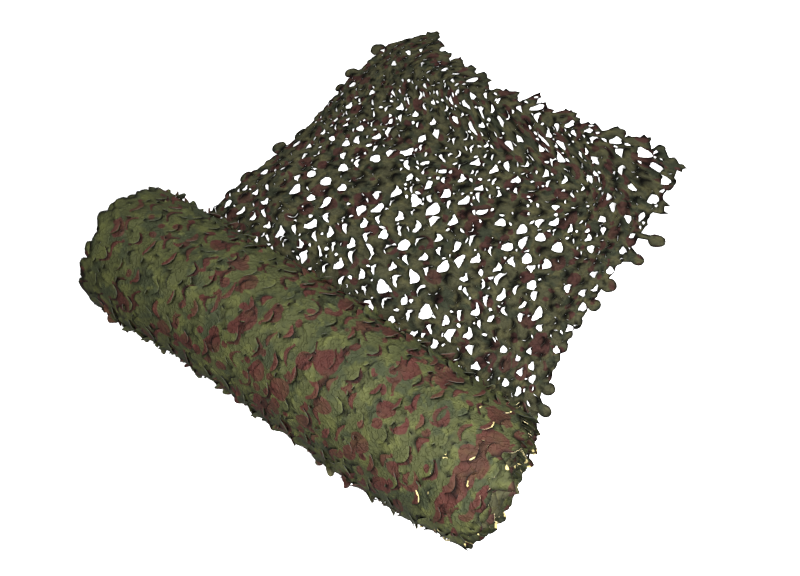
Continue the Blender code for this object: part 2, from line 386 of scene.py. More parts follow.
class FlatNet:
    """A triangulated stretch of the flat net, with its leaves cut free along their edges."""

    CLEAR = 0.0062  # the least distance from the field to a cut or an edge
    SMALL_ROOM = 0.005  # between two small cuts
    ROW_SHARE = 0.7  # of that distance, for the rows beside a cut
    FIELD_SHARE = 0.62  # of its grid, from the field to the rows
    JITTER = 0.0014  # how far the field's points stray
    AHEAD = 0.026  # the width of the cloth in front that takes part
    GIVES = 0.020  # and of the cloth that gives way
    RIM_GAIN = 1.4  # makes the painted shade rim full
    LEAF_BROWN, RIM_BROWN = 0.34, 0.72  # the luck for a brown crescent
    CRESCENT = (0.022, 0.012)  # its width, as a range
    OFF_CUT, ON_OUTLINE = -2, -1  # who owns a point that no cut owns

    def __init__(self, outline: Array, cuts: list[Cut], grid: float) -> None:
        """Cuts and triangulates the net.

        Args:
            outline: The net's own edge, as (u, v) rows, anticlockwise.
            cuts: The cuts. Those too near the outline or each other are left out.
            grid: The spacing of the points away from the cuts.
        """
        self.cuts = self._clear_cuts(outline, cuts)
        points = [outline]
        segments: list[tuple[int, int]] = []
        owner = [np.full(len(outline), self.ON_OUTLINE)]
        count = len(outline)
        for index, cut in enumerate(self.cuts):
            arc = cut.points(cut.kind.arc)
            points.append(arc)
            owner.append(np.full(len(arc), index))
            owner[-1][[0, -1]] = self.OFF_CUT
            segments += [(count + k, count + k + 1) for k in range(len(arc) - 1)]
            count += len(arc)
        fixed = np.vstack(points)
        filling = self._filling(outline, fixed, grid)
        owner.append(np.full(len(filling), self.OFF_CUT))
        self._triangulate(np.vstack([fixed, filling]), segments, np.concatenate(owner), len(outline))
        self._free_leaves()

    def _clear_cuts(self, outline: Array, cuts: list[Cut]) -> list[Cut]:
        """Leaves out the cuts that come too near the outline or a cut before them.

        Args:
            outline: The net's own edge.
            cuts: The cuts, the large ones first.

        Returns:
            Those that are kept.
        """
        edge = nearest_tree(dense_line(outline, LINE_STEP))
        arcs = [cut.points(cut.kind.arc) for cut in cuts]
        inside = inside_outline(np.vstack(arcs), outline)
        taken = nearest_tree(np.vstack([cut.points(np.linspace(-1, 1, 17)) for cut in cuts if cut.main]))
        kept = []
        small = [np.zeros((0, 3))]
        count = 0
        for cut, arc in zip(cuts, arcs):
            whole = inside[count : count + len(arc)].all()
            count += len(arc)
            if not whole or nearest(edge, arc) < self.CLEAR:
                continue
            if not cut.main:
                others = np.vstack(small)
                room = np.hypot(others[:, 0] - cut.u, others[:, 1] - cut.v) - others[:, 2] - cut.chord / 2
                if nearest(taken, arc) < self.CLEAR or (room < self.SMALL_ROOM).any():
                    continue
                small.append(np.array([[cut.u, cut.v, cut.chord / 2]]))
            kept.append(cut)
        return kept

    def _filling(self, outline: Array, fixed: Array, grid: float) -> Array:
        """Spreads points over the cloth: rows beside each cut, and an even field.

        Args:
            outline: The net's own edge.
            fixed: The points of the outline and the cuts.
            grid: The field's spacing.

        Returns:
            The points.
        """
        beside = []
        lines = [dense_line(outline, LINE_STEP)]
        for cut in self.cuts:
            lines.append(cut.points(np.linspace(-1, 1, cut.kind.line)))
            beside += [cut.points(shares, depth) for depth, shares in cut.kind.rows]
        edges = nearest_tree(np.vstack(lines))
        rows = far_from(edges, np.vstack(beside), self.CLEAR * self.ROW_SHARE)
        low, high = fixed.min(axis=0), fixed.max(axis=0)
        across, along = np.meshgrid(
            np.arange(low[0], high[0], grid), np.arange(low[1], high[1], grid * math.sqrt(3) / 2)
        )
        across = across + (np.arange(len(across)) % 2 * grid / 2)[:, None]
        places = np.stack([across.ravel(), along.ravel()], axis=1)
        places = places + np.random.default_rng(11).uniform(-self.JITTER, self.JITTER, places.shape)
        places = far_from(edges, places, self.CLEAR)
        places = far_from(nearest_tree(rows), places, grid * self.FIELD_SHARE)
        filling = np.vstack([rows, places])
        return filling[inside_outline(filling, outline)]

    def _triangulate(
        self, points: Array, segments: list[tuple[int, int]], owner: Array, outline_size: int
    ) -> None:
        """Triangulates the points inside the outline, with an edge along every cut.

        Args:
            points: The outline's, then the cuts' and the filling's.
            segments: The pairs of points that an edge joins.
            owner: Each point's cut, or who else owns it.
            outline_size: How many points the outline has.
        """
        places, _, faces, origins, _, _ = delaunay_2d_cdt(
            [Vector(p) for p in points], segments, [list(range(outline_size))], 1, 1e-7
        )
        uv = np.array([tuple(p) for p in places])
        triangles = np.array([f for f in faces if len(f) == 3], int)
        owned = np.array([owner[o[0]] if o else self.OFF_CUT for o in origins])
        area = signed_areas(uv, triangles)
        triangles[area < 0] = triangles[area < 0][:, ::-1]
        triangles = triangles[np.abs(area) > 1e-9]
        used, flat = np.unique(triangles.ravel(), return_inverse=True)
        self.uv = uv[used]
        self.triangles = flat.reshape(-1, 3)
        self.cut_of = owned[used]
        self.on_outline = self.cut_of == self.ON_OUTLINE

    def _free_leaves(self) -> None:
        """Gives each leaf its own copy of the points along its cut."""
        on_cut = np.flatnonzero(self.cut_of >= 0)
        copy = np.arange(len(self.uv))
        copy[on_cut] = len(self.uv) + np.arange(len(on_cut))
        middle = self.uv[self.triangles].mean(axis=1)
        for corner in range(3):
            cut_of = self.cut_of[self.triangles[:, corner]]
            order = np.argsort(cut_of, kind="stable")
            stops = np.searchsorted(cut_of[order], np.arange(len(self.cuts) + 1))
            for index, cut in enumerate(self.cuts):
                around = order[stops[index] : stops[index + 1]]
                leaf = around[cut.measure(middle[around])[0] > 0]
                self.triangles[leaf, corner] = copy[self.triangles[leaf, corner]]
        self.on_leaf = np.concatenate([np.zeros(len(self.uv), bool), np.ones(len(on_cut), bool)])
        self.on_outline = np.concatenate([self.on_outline, np.zeros(len(on_cut), bool)])
        self.uv = np.vstack([self.uv, self.uv[on_cut]])
        self.cut_of = np.concatenate([self.cut_of, self.cut_of[on_cut]])

    def open(self, look: EdgeLook) -> OpenedNet:
        """Moves every leaf as its cut says.

        Args:
            look: How the cut edges look, and the painted shade along them.

        Returns:
            Each point's movement and its numbers for the finishes.
        """
        count = len(self.uv)
        moved = OpenedNet(np.zeros((count, 2)), *(np.zeros(count) for _ in range(5)))
        order = np.argsort(self.uv[:, 1], kind="stable")
        heights = self.uv[order, 1]
        for index, cut in enumerate(self.cuts):
            reach = cut.kind.reach
            first, last = np.searchsorted(heights, [cut.v - reach, cut.v + reach])
            near = order[first:last]
            near = near[np.abs(self.uv[near, 0] - cut.u) < reach]
            self._open_one(moved, index, near, look)
        # painted shade along the net's own edge
        moved.edge[self.on_outline] = max(look.outer, look.leaf)
        stray = np.random.default_rng(12).uniform(-look.ragged, look.ragged, (count, 2))
        moved.shift += stray * (self.cut_of >= 0)[:, None]
        return moved

    def _open_one(self, moved: OpenedNet, index: int, near: Array, look: EdgeLook) -> None:
        """Adds one cut's movement to the points near it.

        Args:
            moved: The movement so far.
            index: Which cut it is.
            near: The points' indices.
            look: How the cut edges look, and the painted shade along them.
        """
        cut = self.cuts[index]
        depth, share = cut.measure(self.uv[near])
        length = cut.kind.open_length if cut.drawn > 0 else cut.kind.shut_length
        here = (np.abs(share) < 1) & (depth > -self.AHEAD) & (depth < length)
        near, depth, share = near[here], depth[here], share[here]
        own = self.cut_of[near] == index
        leaf = np.where(own, self.on_leaf[near], depth > 0)
        depth = np.where(own, 0.0, depth)
        crest = 1 - share**2
        weight = np.clip(crest * (1 + cut.skew * share) / (1 + cut.skew**2 / 4), 0.0, None) ** cut.narrow
        slide = cut.drawn * (1 - cut.curled) if cut.drawn > 0 else cut.drawn
        fade = np.cos(np.clip(depth / length, 0.0, 1.0) * math.pi / 2) ** 2
        reach = cut.leaf_depth * np.sqrt(crest) + 1e-6
        inner = np.clip(1 - depth / reach, 0.0, 1.0)
        turn = curl_angle((max(cut.drawn, 0.0) - max(slide, 0.0)) * weight / reach)
        back = slide * weight * fade + reach * (inner - np.sin(turn * inner) / turn)
        rise = reach * (1 - np.cos(turn * inner)) / turn + cut.raised * weight * inner**2
        away = cut.pushed * weight * np.clip(1 + depth / self.GIVES, 0.0, 1.0)
        moved.shift[near] += np.where(leaf, -back, away)[:, None] * cut.out
        moved.height[near] += np.where(leaf, rise, 0.0)
        # painted shade in a band on both sides of the cut, standing in for the shadow and dark curl at
        # its edge; a leaf value below nought makes it a painted highlight on the leaf
        covered = np.where(leaf, 0.0, max(-cut.drawn, 0.0) * weight)
        seen = np.maximum(np.abs(depth) - covered, 0.0)
        rim = np.clip(self.RIM_GAIN * np.exp(-((seen / look.rim) ** 2)), 0.0, 1.0) * crest**0.25
        rim = rim * cut.rim_shade * np.where(leaf, look.leaf, look.outer)
        stronger = np.abs(rim) > np.abs(moved.edge[near])
        moved.edge[near] = np.where(stronger, rim, moved.edge[near])
        if cut.main:
            shade = (2 * cut.luck[5] - 1) * smooth_step(0.0, 0.35, inner * crest)
            moved.tone[near] += np.where(leaf, shade, 0.0)
            brown = leaf if cut.luck[6] < self.LEAF_BROWN else ~leaf & (cut.luck[6] > self.RIM_BROWN)
            band = 1 - seen / (within(self.CRESCENT, cut.luck[9]) * np.sqrt(crest) + 1e-6)
            moved.spot[near] = np.maximum(moved.spot[near], np.where(brown, band, 0.0))


CURL_ANGLES = np.linspace(0.02, 4.2, 240)
CURL_DRAWS = 1 - np.sin(CURL_ANGLES) / CURL_ANGLES


def curl_angle(draw: Array) -> Array:
    """The angle a leaf has curled through, by how far its edge drew back over its depth."""
    return np.interp(draw, CURL_DRAWS, CURL_ANGLES)


def signed_areas(uv: Array, triangles: Array) -> Array:
    """Twice the area of each triangle, below nought for one that runs clockwise."""
    a, b, c = (uv[triangles[:, k]] for k in range(3))
    return (b[:, 0] - a[:, 0]) * (c[:, 1] - a[:, 1]) - (c[:, 0] - a[:, 0]) * (b[:, 1] - a[:, 1])


def nearest_tree(points: Array) -> KDTree:
    """Sorts some flat points, to find the nearest of them quickly.

    Args:
        points: The points, as rows.

    Returns:
        The tree that finds them.
    """
    tree = KDTree(len(points))
    for index, point in enumerate(points):
        tree.insert((point[0], point[1], 0.0), index)
    tree.balance()
    return tree


def nearest(tree: KDTree, places: Array) -> float:
    """The least distance from any of some places to a tree's points."""
    return min(tree.find((p[0], p[1], 0.0))[2] for p in places)


def far_from(tree: KDTree, places: Array, distance: float) -> Array:
    """The places that lie further than a distance from every point of a tree."""
    keep = [tree.find((p[0], p[1], 0.0))[2] > distance for p in places]
    return places[np.array(keep, bool)]


def dense_line(corners: Array, step: float) -> Array:
    """Fills the closed line through some corners with points.

    Args:
        corners: The corners, as rows.
        step: The greatest distance between two points.

    Returns:
        The points, as rows.
    """
    runs = []
    for start, stop in zip(corners, np.roll(corners, -1, axis=0)):
        count = max(1, math.ceil(float(np.hypot(*(stop - start))) / step))
        runs.append(start + (stop - start) * (np.arange(count) / count)[:, None])
    return np.vstack(runs)


def inside_outline(places: Array, outline: Array) -> Array:
    """Finds which places lie inside a closed outline.

    Args:
        places: The places, as rows.
        outline: The outline's corners, as rows.

    Returns:
        True for each place that lies inside.
    """
    inside = np.zeros(len(places), bool)
    x, y = places[:, 0], places[:, 1]
    for (ax, ay), (bx, by) in zip(outline, np.roll(outline, -1, axis=0)):
        if ay != by:
            inside ^= ((ay > y) != (by > y)) & (x < (bx - ax) * (y - ay) / (by - ay) + ax)
    return inside


# ---- finishes


class Board:
    """A node tree, with the few steps that every finish is made of."""

    def __init__(self, tree: Tree, place: Socket | None = None) -> None:
        """Takes the node tree, and the place that its noises read."""
        self.tree = tree
        self.place = place

    def feed(self, socket: Socket, value: Value) -> None:
        """Joins a socket to another, or gives it a number, a vector or a colour.

        Args:
            socket: The node's input.
            value: What it takes.
        """
        if isinstance(value, bpy.types.NodeSocket):
            self.tree.links.new(value, socket)
        elif socket.type == "RGBA":
            socket.default_value = (*value, 1.0)
        else:
            socket.default_value = value

    def add(self, kind: str, feeds: dict[str | int, Value] | None = None, **settings: object) -> Node:
        """Adds a node.

        Args:
            kind: Its type, less ShaderNode.
            feeds: What its inputs take, by name or number.
            settings: The node's own settings.

        Returns:
            The node.
        """
        node = self.tree.nodes.new("ShaderNode" + kind)
        for name, value in settings.items():
            setattr(node, name, value)
        for key, value in (feeds or {}).items():
            self.feed(node.inputs[key], value)
        return node

    def math(self, operation: str, *values: Value) -> Socket:
        """Adds a Math node for some sockets and numbers, and gives its result."""
        return self.add("Math", dict(enumerate(values)), operation=operation).outputs[0]

    def most(self, *values: Value) -> Socket:
        """Adds what finds the greatest of some sockets.

        Args:
            values: The sockets.

        Returns:
            The greatest.
        """
        first, *others = values
        for value in others:
            first = self.math("MAXIMUM", first, value)
        return first

    def noise(self, scale: float, detail: float = 2.0, output: str = "Fac") -> Socket:
        """Adds a Noise Texture with so many swells to a metre."""
        feeds = {"Vector": self.place, "Scale": scale, "Detail": detail}
        return self.add("TexNoise", feeds).outputs[output]

    def mask(self, value: Socket, low: float, high: float) -> Socket:
        """Adds a Map Range that rises softly from 0 at low to 1 at high.

        Args:
            value: The socket it reads.
            low: The value that gives 0.
            high: The value that gives 1, which may be less.

        Returns:
            Its result.
        """
        rises = low < high
        feeds = {"Value": value, "From Min": min(low, high), "From Max": max(low, high)}
        feeds |= {"To Min": float(not rises), "To Max": float(rises)}
        return self.add("MapRange", feeds, interpolation_type="SMOOTHSTEP").outputs["Result"]

    def mix(self, blend: str, share: Value, first: Value, second: Value) -> Socket:
        """Adds a Mix node for colours, with so large a share of the second."""
        feeds = {0: share, 6: first, 7: second}
        return self.add("Mix", feeds, data_type="RGBA", blend_type=blend).outputs[2]

    def attribute(self, name: str) -> Socket:
        """Reads one of the numbers that a sheet keeps for each of its points."""
        return self.add("Attribute", attribute_name=name).outputs["Fac"]

    def split(self) -> Outputs:
        """Splits the place into its three numbers."""
        return self.add("SeparateXYZ", {0: self.place}).outputs


def make_group(name: str, outputs: Callable[[Board], dict[str, Socket]]) -> Tree:
    """Makes a node group that reads a place on the net.

    Args:
        name: The group's name.
        outputs: Adds the group's nodes, and gives its named outputs.

    Returns:
        The group.
    """
    tree = bpy.data.node_groups.new(name, "ShaderNodeTree")
    tree.interface.new_socket("Place", in_out="INPUT", socket_type="NodeSocketVector")
    values = outputs(Board(tree, tree.nodes.new("NodeGroupInput").outputs["Place"]))
    for output in values:
        tree.interface.new_socket(output, in_out="OUTPUT", socket_type="NodeSocketFloat")
    end = tree.nodes.new("NodeGroupOutput")
    for output, value in values.items():
        tree.links.new(value, end.inputs[output])
    return tree


class Band(NamedTuple):
    """A broad ragged patch of the print, as an oval on the net."""

    u: float
    v: float
    half_u: float
    half_v: float
    turn: float  # from the net's length, in radians

    def mask(self, board: Board) -> Socket:
        """Finds the patch.

        Args:
            board: The group's nodes.

        Returns:
            1 inside the patch and 0 outside.
        """
        feeds = {"Vector": board.place, "Location": (self.u, self.v, 0.0)}
        feeds |= {"Rotation": (0.0, 0.0, self.turn), "Scale": (self.half_u, self.half_v, 1.0)}
        moved = board.add("Mapping", feeds, vector_type="TEXTURE").outputs["Vector"]
        off = board.add("VectorMath", {0: moved}, operation="LENGTH").outputs["Value"]
        return board.mask(board.math("MULTIPLY_ADD", board.noise(24.0), 1.4, off), 1.72, 1.66)


@dataclass(frozen=True)
class SpotLayer:
    """Round spots, and crescents that are a spot less the same spot moved aside."""

    scale: float  # cells to a metre
    chosen: Pair  # the share of cells with a spot, at the sides and the middle
    sizes: Pair  # the least and greatest radius, as shares of a cell
    bite: Point = (0.019, 0.010, 0.0)
    whole: float = 0.45  # the share of spots that nothing is bitten from
    left_fade: Pair = (0.28, 0.78)
    right_fade: Pair = (1.35, 1.15)
    loose_share: Pair = (-0.35, 0.50)  # the loose end has more at its sides
    far_across: Pair = (0.55, 1.05)
    far_along: Pair = (0.70, 1.20)
    far_more: float = 0.60  # and more still towards its far right corner

    def mask(self, board: Board) -> Socket:
        """Finds the spots.

        Args:
            board: The group's nodes.

        Returns:
            1 inside a spot and 0 outside.
        """
        (spot, random), (bite, _) = (self._cells(board, m) for m in ((0.0, 0.0, 0.0), self.bite))
        bite = board.math("MULTIPLY", bite, board.math("GREATER_THAN", random["Blue"], self.whole))
        spot = board.math("MAXIMUM", board.math("SUBTRACT", spot, bite), 0.0)
        least, most = self.chosen
        limit = board.math("MULTIPLY_ADD", self._share(board), most - least, least)
        return board.math("MULTIPLY", spot, board.math("LESS_THAN", random["Red"], limit))

    def _cells(self, board: Board, aside: Point) -> tuple[Socket, Outputs]:
        """Puts a round spot in every cell.

        Args:
            board: The group's nodes.
            aside: How far they are moved.

        Returns:
            Their mask, and three random numbers for each cell.
        """
        moved = board.add("VectorMath", {0: board.place, 1: aside}, operation="ADD").outputs[0]
        feeds = {"Vector": moved, "Scale": self.scale, "Randomness": 0.85}
        cells = board.add("TexVoronoi", feeds, voronoi_dimensions="2D")
        random = board.add("SeparateColor", {"Color": cells.outputs["Color"]}).outputs
        least, most = self.sizes
        size = board.math("MULTIPLY_ADD", random["Green"], most - least, least)
        return board.mask(board.math("SUBTRACT", size, cells.outputs["Distance"]), -0.02, 0.02), random

    def _share(self, board: Board) -> Socket:
        """Finds where the share of cells with a spot lies between its two values.

        Args:
            board: The group's nodes.

        Returns:
            0 for the sides' value and 1 for the middle's.
        """
        across, along, _ = board.split()
        left, right = (board.mask(across, *fade) for fade in (self.left_fade, self.right_fade))
        share = board.math("MULTIPLY", left, right)
        far = board.mask(across, *self.far_across), board.mask(along, *self.far_along)
        far = board.math("MULTIPLY", *far)
        loose = board.math("MULTIPLY_ADD", share, *self.loose_share)
        loose = board.math("MULTIPLY_ADD", far, self.far_more, loose)
        wound = board.mask(along, 0.05, -0.05)
        return board.math("MULTIPLY_ADD", board.math("SUBTRACT", share, loose), wound, loose)


BANDS = table(
    Band,
    (1.416, -0.560, 0.030, 0.140, 0.06),
    (1.446, -0.700, 0.062, 0.036, 0.0),
    (1.410, -0.790, 0.045, 0.034, 0.0),
    (1.486, -0.560, 0.013, 0.050, 0.0),
)
THREAD_PITCH = 0.0013
WARP = (0.017, 0.017, 0.0)  # how far a noise moves the print's outlines
SPOT_LAYERS = (
    SpotLayer(11.0, (0.30, 0.80), (0.25, 0.38)),
    SpotLayer(22.0, (0.16, 0.40), (0.22, 0.42)),
)


def blotches(board: Board) -> dict[str, Socket]:
    """The print: brown spots, crescents and patches, dark shade and sunlit flecks.

    Args:
        board: The group's nodes.

    Returns:
        The three masks, by name.
    """
    feeds = {0: board.noise(26.0, output="Color"), 1: WARP, 2: board.place}
    board.place = board.add("VectorMath", feeds, operation="MULTIPLY_ADD").outputs[0]
    patch = board.mask(board.noise(6.0, 1.5), 0.66, 0.68)
    layers = [layer.mask(board) for layer in SPOT_LAYERS]
    bands = [band.mask(board) for band in BANDS]
    return {
        "Spots": board.most(*layers, patch, *bands),
        "Shade": board.mask(board.noise(12.0), 0.47, 0.60),
        "Sun": board.mask(board.noise(22.0, 2.5), 0.50, 0.64),
    }


def crinkles(board: Board) -> dict[str, Socket]:
    """The cloth's crinkles: soft dents, and sharper creases that wander across them.

    Args:
        board: The group's nodes.

    Returns:
        Their height, a fine mottle that paints the light and shade of crumples and sets the roughness,
        and a broad fading, by name.
    """
    dents = board.math("MULTIPLY", board.noise(55.0, 3.0), 0.55)
    fold = board.math("ABSOLUTE", board.math("SUBTRACT", board.noise(40.0), 0.5))
    height = board.math("MULTIPLY_ADD", board.mask(fold, 0.06, 0.0), 0.35, dents)
    return {
        "Height": board.math("MULTIPLY_ADD", board.noise(150.0, 3.0), 0.25, height),
        # painted light and shade of fine crumples
        "Mottle": board.noise(80.0, 4.0),
        "Fading": board.noise(13.0),
    }


def weave(board: Board) -> dict[str, Socket]:
    """The plain weave of the cloth's threads."""
    turns = [board.math("MULTIPLY", way, math.tau / THREAD_PITCH) for way in board.split()[:2]]
    return {"Height": board.math("MULTIPLY", *(board.math("SINE", turn) for turn in turns))}


EFFECTS = {"net blotches": blotches, "cloth crinkles": crinkles, "plain weave": weave}


def start_material(name: str) -> tuple[Material, Board, bpy.types.NodeInputs]:
    """Starts a material.

    Args:
        name: Its name.

    Returns:
        The material, its nodes and its shader's inputs.
    """
    made = bpy.data.materials.new(name)
    made.use_nodes = True
    return made, Board(made.node_tree), made.node_tree.nodes["Principled BSDF"].inputs


@dataclass(frozen=True)
class PrintedCloth:
    """One side of the printed, coated cloth."""

    name: str
    base: Colour
    shade: Colour
    sun: Colour
    spot: Colour
    roughness: Pair
    edge_dark: float  # what is left of the colour under the painted shade at a leaf's edge
    tone_swing: float  # how much leaves differ
    mottle: float  # how much its painted crumple light and shade swings
    specular: float
    spot_strength: float
    crinkle: float  # their height
    faded: float = 0.72  # the spots' least strength
    sun_strength: float = 0.8
    weave_height: float = 0.00012
    pale: Colour = (0.36, 0.30, 0.13)  # where the coating has split

    def build(self, effects: list[Tree]) -> Material:
        """Makes the material.

        Args:
            effects: The shared node groups.

        Returns:
            The material.
        """
        made, board, shader = start_material(self.name)
        place = board.add("UVMap", uv_map=UV_NAME).outputs["UV"]
        prints, creases, threads = (
            board.add("Group", {"Place": place}, node_tree=tree).outputs for tree in effects
        )
        colour = board.mix("MIX", prints["Shade"], self.base, self.shade)
        sun = board.math("MULTIPLY", prints["Sun"], self.sun_strength)
        colour = board.mix("MIX", sun, colour, self.sun)
        spots = board.most(prints["Spots"], board.mask(board.attribute("leaf_spot"), 0.44, 0.56))
        faded = board.mask(creases["Fading"], 0.30, 0.62)
        strength = board.math("MULTIPLY_ADD", faded, self.spot_strength - self.faded, self.faded)
        colour = board.mix("MIX", board.math("MULTIPLY", spots, strength), colour, self.spot)
        # darkens and lightens the colour with painted light and shade
        colour = board.mix("MULTIPLY", 1.0, colour, self._light(board, creases["Mottle"]))
        split = board.mask(board.attribute("leaf_pale"), 0.40, 0.60)
        board.feed(shader["Base Color"], board.mix("MIX", split, colour, self.pale))
        least, most = self.roughness
        rough = board.add("MapRange", {"Value": creases["Mottle"], "To Min": least, "To Max": most})
        board.feed(shader["Roughness"], rough.outputs["Result"])
        board.feed(shader["Specular IOR Level"], self.specular)
        bump = {"Distance": self.weave_height, "Height": threads["Height"]}
        woven = board.add("Bump", bump).outputs["Normal"]
        bump = {"Distance": self.crinkle, "Height": creases["Height"], "Normal": woven}
        board.feed(shader["Normal"], board.add("Bump", bump).outputs["Normal"])
        return made

    def _light(self, board: Board, mottle: Socket) -> Socket:
        """Finds how light each place is painted: a leaf's own tone, a painted light and shade of
        crumples, and the painted shade and highlight along cut edges.

        Args:
            board: The material's nodes.
            mottle: The fine mottle of painted crumple light and shade.

        Returns:
            A grey to multiply the colour by.
        """
        light = board.math("MULTIPLY_ADD", board.attribute("leaf_tone"), self.tone_swing, 1.0)
        # a painted light and shade of fine crumples
        crumple_shading = board.math("MULTIPLY_ADD", mottle, self.mottle, 1 - self.mottle / 2)
        # painted shade along cut edges, and a painted highlight where the edge value is below nought
        rim = board.math("MULTIPLY_ADD", board.attribute("leaf_edge"), self.edge_dark - 1.0, 1.0)
        light = board.math("MULTIPLY", board.math("MULTIPLY", light, crumple_shading), rim)
        return board.add("CombineColor", {0: light, 1: light, 2: light}).outputs[0]


@dataclass(frozen=True)
class RawEdge:
    """The cut edge of the cloth: dark for the most part, and pale where the coating has split."""

    name: str = "raw edge"
    dark: Colour = (0.020, 0.022, 0.013)
    pale: Colour = (0.78, 0.66, 0.36)
    pale_from: float = 0.62  # the x past which the edge shows pale
    pale_blend: float = 0.05

    def build(self) -> Material:
        """Makes the material.

        Returns:
            The material, which reads Object coordinates.
        """
        made, board, shader = start_material(self.name)
        board.place = board.add("TexCoord").outputs["Object"]
        there = board.mask(board.split()[0], self.pale_from, self.pale_from + self.pale_blend)
        torn = board.mask(board.noise(26.0), 0.57, 0.62)
        colour = board.mix("MIX", board.math("MULTIPLY", there, torn), self.dark, self.pale)
        board.feed(shader["Base Color"], colour)
        board.feed(shader["Roughness"], board.mask(board.noise(300.0), -0.6, 1.2))
        return made


FACE = PrintedCloth(
    name="printed face",
    base=(0.0236, 0.0258, 0.0096),
    shade=(0.0160, 0.0190, 0.0090),
    sun=(0.0352, 0.0380, 0.0120),
    spot=(0.0280, 0.0084, 0.0069),
    roughness=(0.42, 0.72),
    edge_dark=0.05,
    tone_swing=0.14,
    mottle=0.8,
    specular=0.06,
    spot_strength=0.95,
    crinkle=0.0052,
)
REVERSE = PrintedCloth(
    name="printed reverse",
    base=(0.0270, 0.0264, 0.0142),
    shade=(0.0152, 0.0172, 0.0104),
    sun=(0.0384, 0.0360, 0.0166),
    spot=(0.0270, 0.0100, 0.0092),
    roughness=(0.55, 0.85),
    edge_dark=0.04,
    tone_swing=0.35,
    mottle=1.0,
    specular=0.03,
    spot_strength=0.88,
    crinkle=0.0055,
)


class Finishes:
    """The materials of the net, made once."""

    def __init__(self) -> None:
        """Makes the shared node groups and the three materials."""
        effects = [make_group(name, outputs) for name, outputs in EFFECTS.items()]
        self.face = FACE.build(effects)
        self.reverse = REVERSE.build(effects)
        self.edge = RawEdge().build()

    def stack(self, up: ClothSide) -> list[Material]:
        """The materials of a sheet: its upper side, its under side and its edge."""
        sides = [self.face, self.reverse] if up is ClothSide.FACE else [self.reverse, self.face]
        return [*sides, self.edge]


# ---- meshes


class Sheet(NamedTuple):
    """The mesh of one sheet of cloth, as it lies."""

    points: Array  # its upper side
    faces: Array  # anticlockwise from above
    uv: Array  # each point's place on the flat net
    values: dict[str, Array]  # numbers for each point, by name

    def build(self, name: str, materials: list[Material], thickness: float) -> Piece:
        """Makes the sheet as an object.

        Args:
            name: The piece's name.
            materials: For its upper side, its under side and its edge.
            thickness: The cloth's, or 0 for a sheet that is covered.

        Returns:
            The object.
        """
        mesh = bpy.data.meshes.new(name)
        mesh.from_pydata(self.points.tolist(), [], self.faces.tolist())
        layer = mesh.uv_layers.new(name=UV_NAME)
        corners = np.empty(len(mesh.loops), int)
        mesh.loops.foreach_get("vertex_index", corners)
        layer.data.foreach_set("uv", self.uv[corners].astype(np.float32).ravel())
        give_values(mesh, self.values)
        for material in materials:
            mesh.materials.append(material)
        mesh.shade_smooth()
        piece = add_object(name, mesh)
        if thickness:
            body = piece.modifiers.new("cloth thickness", "SOLIDIFY")
            body.thickness = thickness
            body.offset = -1.0
            body.material_offset = 1
            body.material_offset_rim = 2
        return piece


def give_values(mesh: Mesh, values: dict[str, Array]) -> None:
    """Keeps named numbers for each point of a mesh."""
    for key, numbers in values.items():
        mesh.attributes.new(key, "FLOAT", "POINT").data.foreach_set("value", numbers.astype(np.float32))


def add_object(name: str, data: bpy.types.ID) -> Piece:
    """Makes an object and puts it in the scene.

    Args:
        name: Its name.
        data: Its mesh, lamp or camera.

    Returns:
        The object.
    """
    made = bpy.data.objects.new(name, data)
    bpy.context.scene.collection.objects.link(made)
    return made


# ---- the loose end


class EdgeLeaf(NamedTuple):
    """A leaf that stands out of a side edge: its place along it, its reach and its width."""

    y: float
    reach: float
    width: float
    pointed: bool = False

    def outline(self, x: float, side: int) -> Corners:
        """Draws the leaf: a low swell, or a disc on a neck if it stands far out.

        Args:
            x: Where the side edge runs.
            side: -1 for the left edge, or 1.

        Returns:
            Its corners, from the roll outwards.
        """
        half = self.width / 2
        if self.pointed:
            steps = zip(POINTED_LEAF[0], POINTED_LEAF[1])
            return [(x + side * self.reach * out, self.y + half * along) for along, out in steps]
        if self.reach < LOW_LEAF:
            return [(x + side * self.reach * math.sqrt(1 - s * s), self.y + half * s) for s in LEAF_STEPS]
        radius = min(half * 0.86, self.reach * 0.72)
        centre = self.reach - radius
        turn = math.radians(118 if self.reach < FREE_LEAF else 158)
        disc = [
            (x + side * (centre + radius * math.cos(a)), self.y + half * 0.9 * math.sin(a))
            for a in np.linspace(-turn, turn, 13)
        ]
        if self.reach < FREE_LEAF:
            return disc
        foot = x + side * 0.004
        return [(foot, self.y - half * 0.6), *disc, (foot, self.y + half * 0.2)]


POINTED_LEAF = ((-1.0, -0.8, -0.35, -0.25, 0.3, 0.55, 1.0), (0.0, 0.5, 1.0, 0.62, 0.45, 0.8, 0.1))
LEAF_STEPS = (-1.0, -0.85, -0.6, -0.3, 0.0, 0.3, 0.6, 0.85, 1.0)
LOW_LEAF = 0.024  # a leaf that reaches less is a swell of the edge
FREE_LEAF = 0.08  # a leaf that reaches further hangs by a narrow neck


class GapForm(NamedTuple):
    """One of the forms that a large opening may have."""

    near_luck: float  # cuts with less luck have this form, near the roll
    far_luck: float  # and further off
    sagitta: Range  # how strongly it bows, against its cut
    narrow: Range
    pushed: float  # the share of its width that lies outside its cut
    widest: float = math.inf  # the most that it opens, against its sagitta
    lopsided: bool = False

    def up_to(self, v: float) -> float:
        """The luck up to which a cut takes this form."""
        return self.near_luck if v < 0.9 else self.far_luck


GAP_FORMS = (
    GapForm(0.66, 0.45, (0.95, 0.35), (0.40, 0.35), 0.15, widest=0.75),  # a crescent
    GapForm(0.80, 0.80, (0.70, 0.40), (0.90, 0.90), 0.0, lopsided=True),  # a drop
    GapForm(1.0, 1.0, (0.55, 0.40), (0.60, 0.50), 0.45),  # a wide uneven hole
)


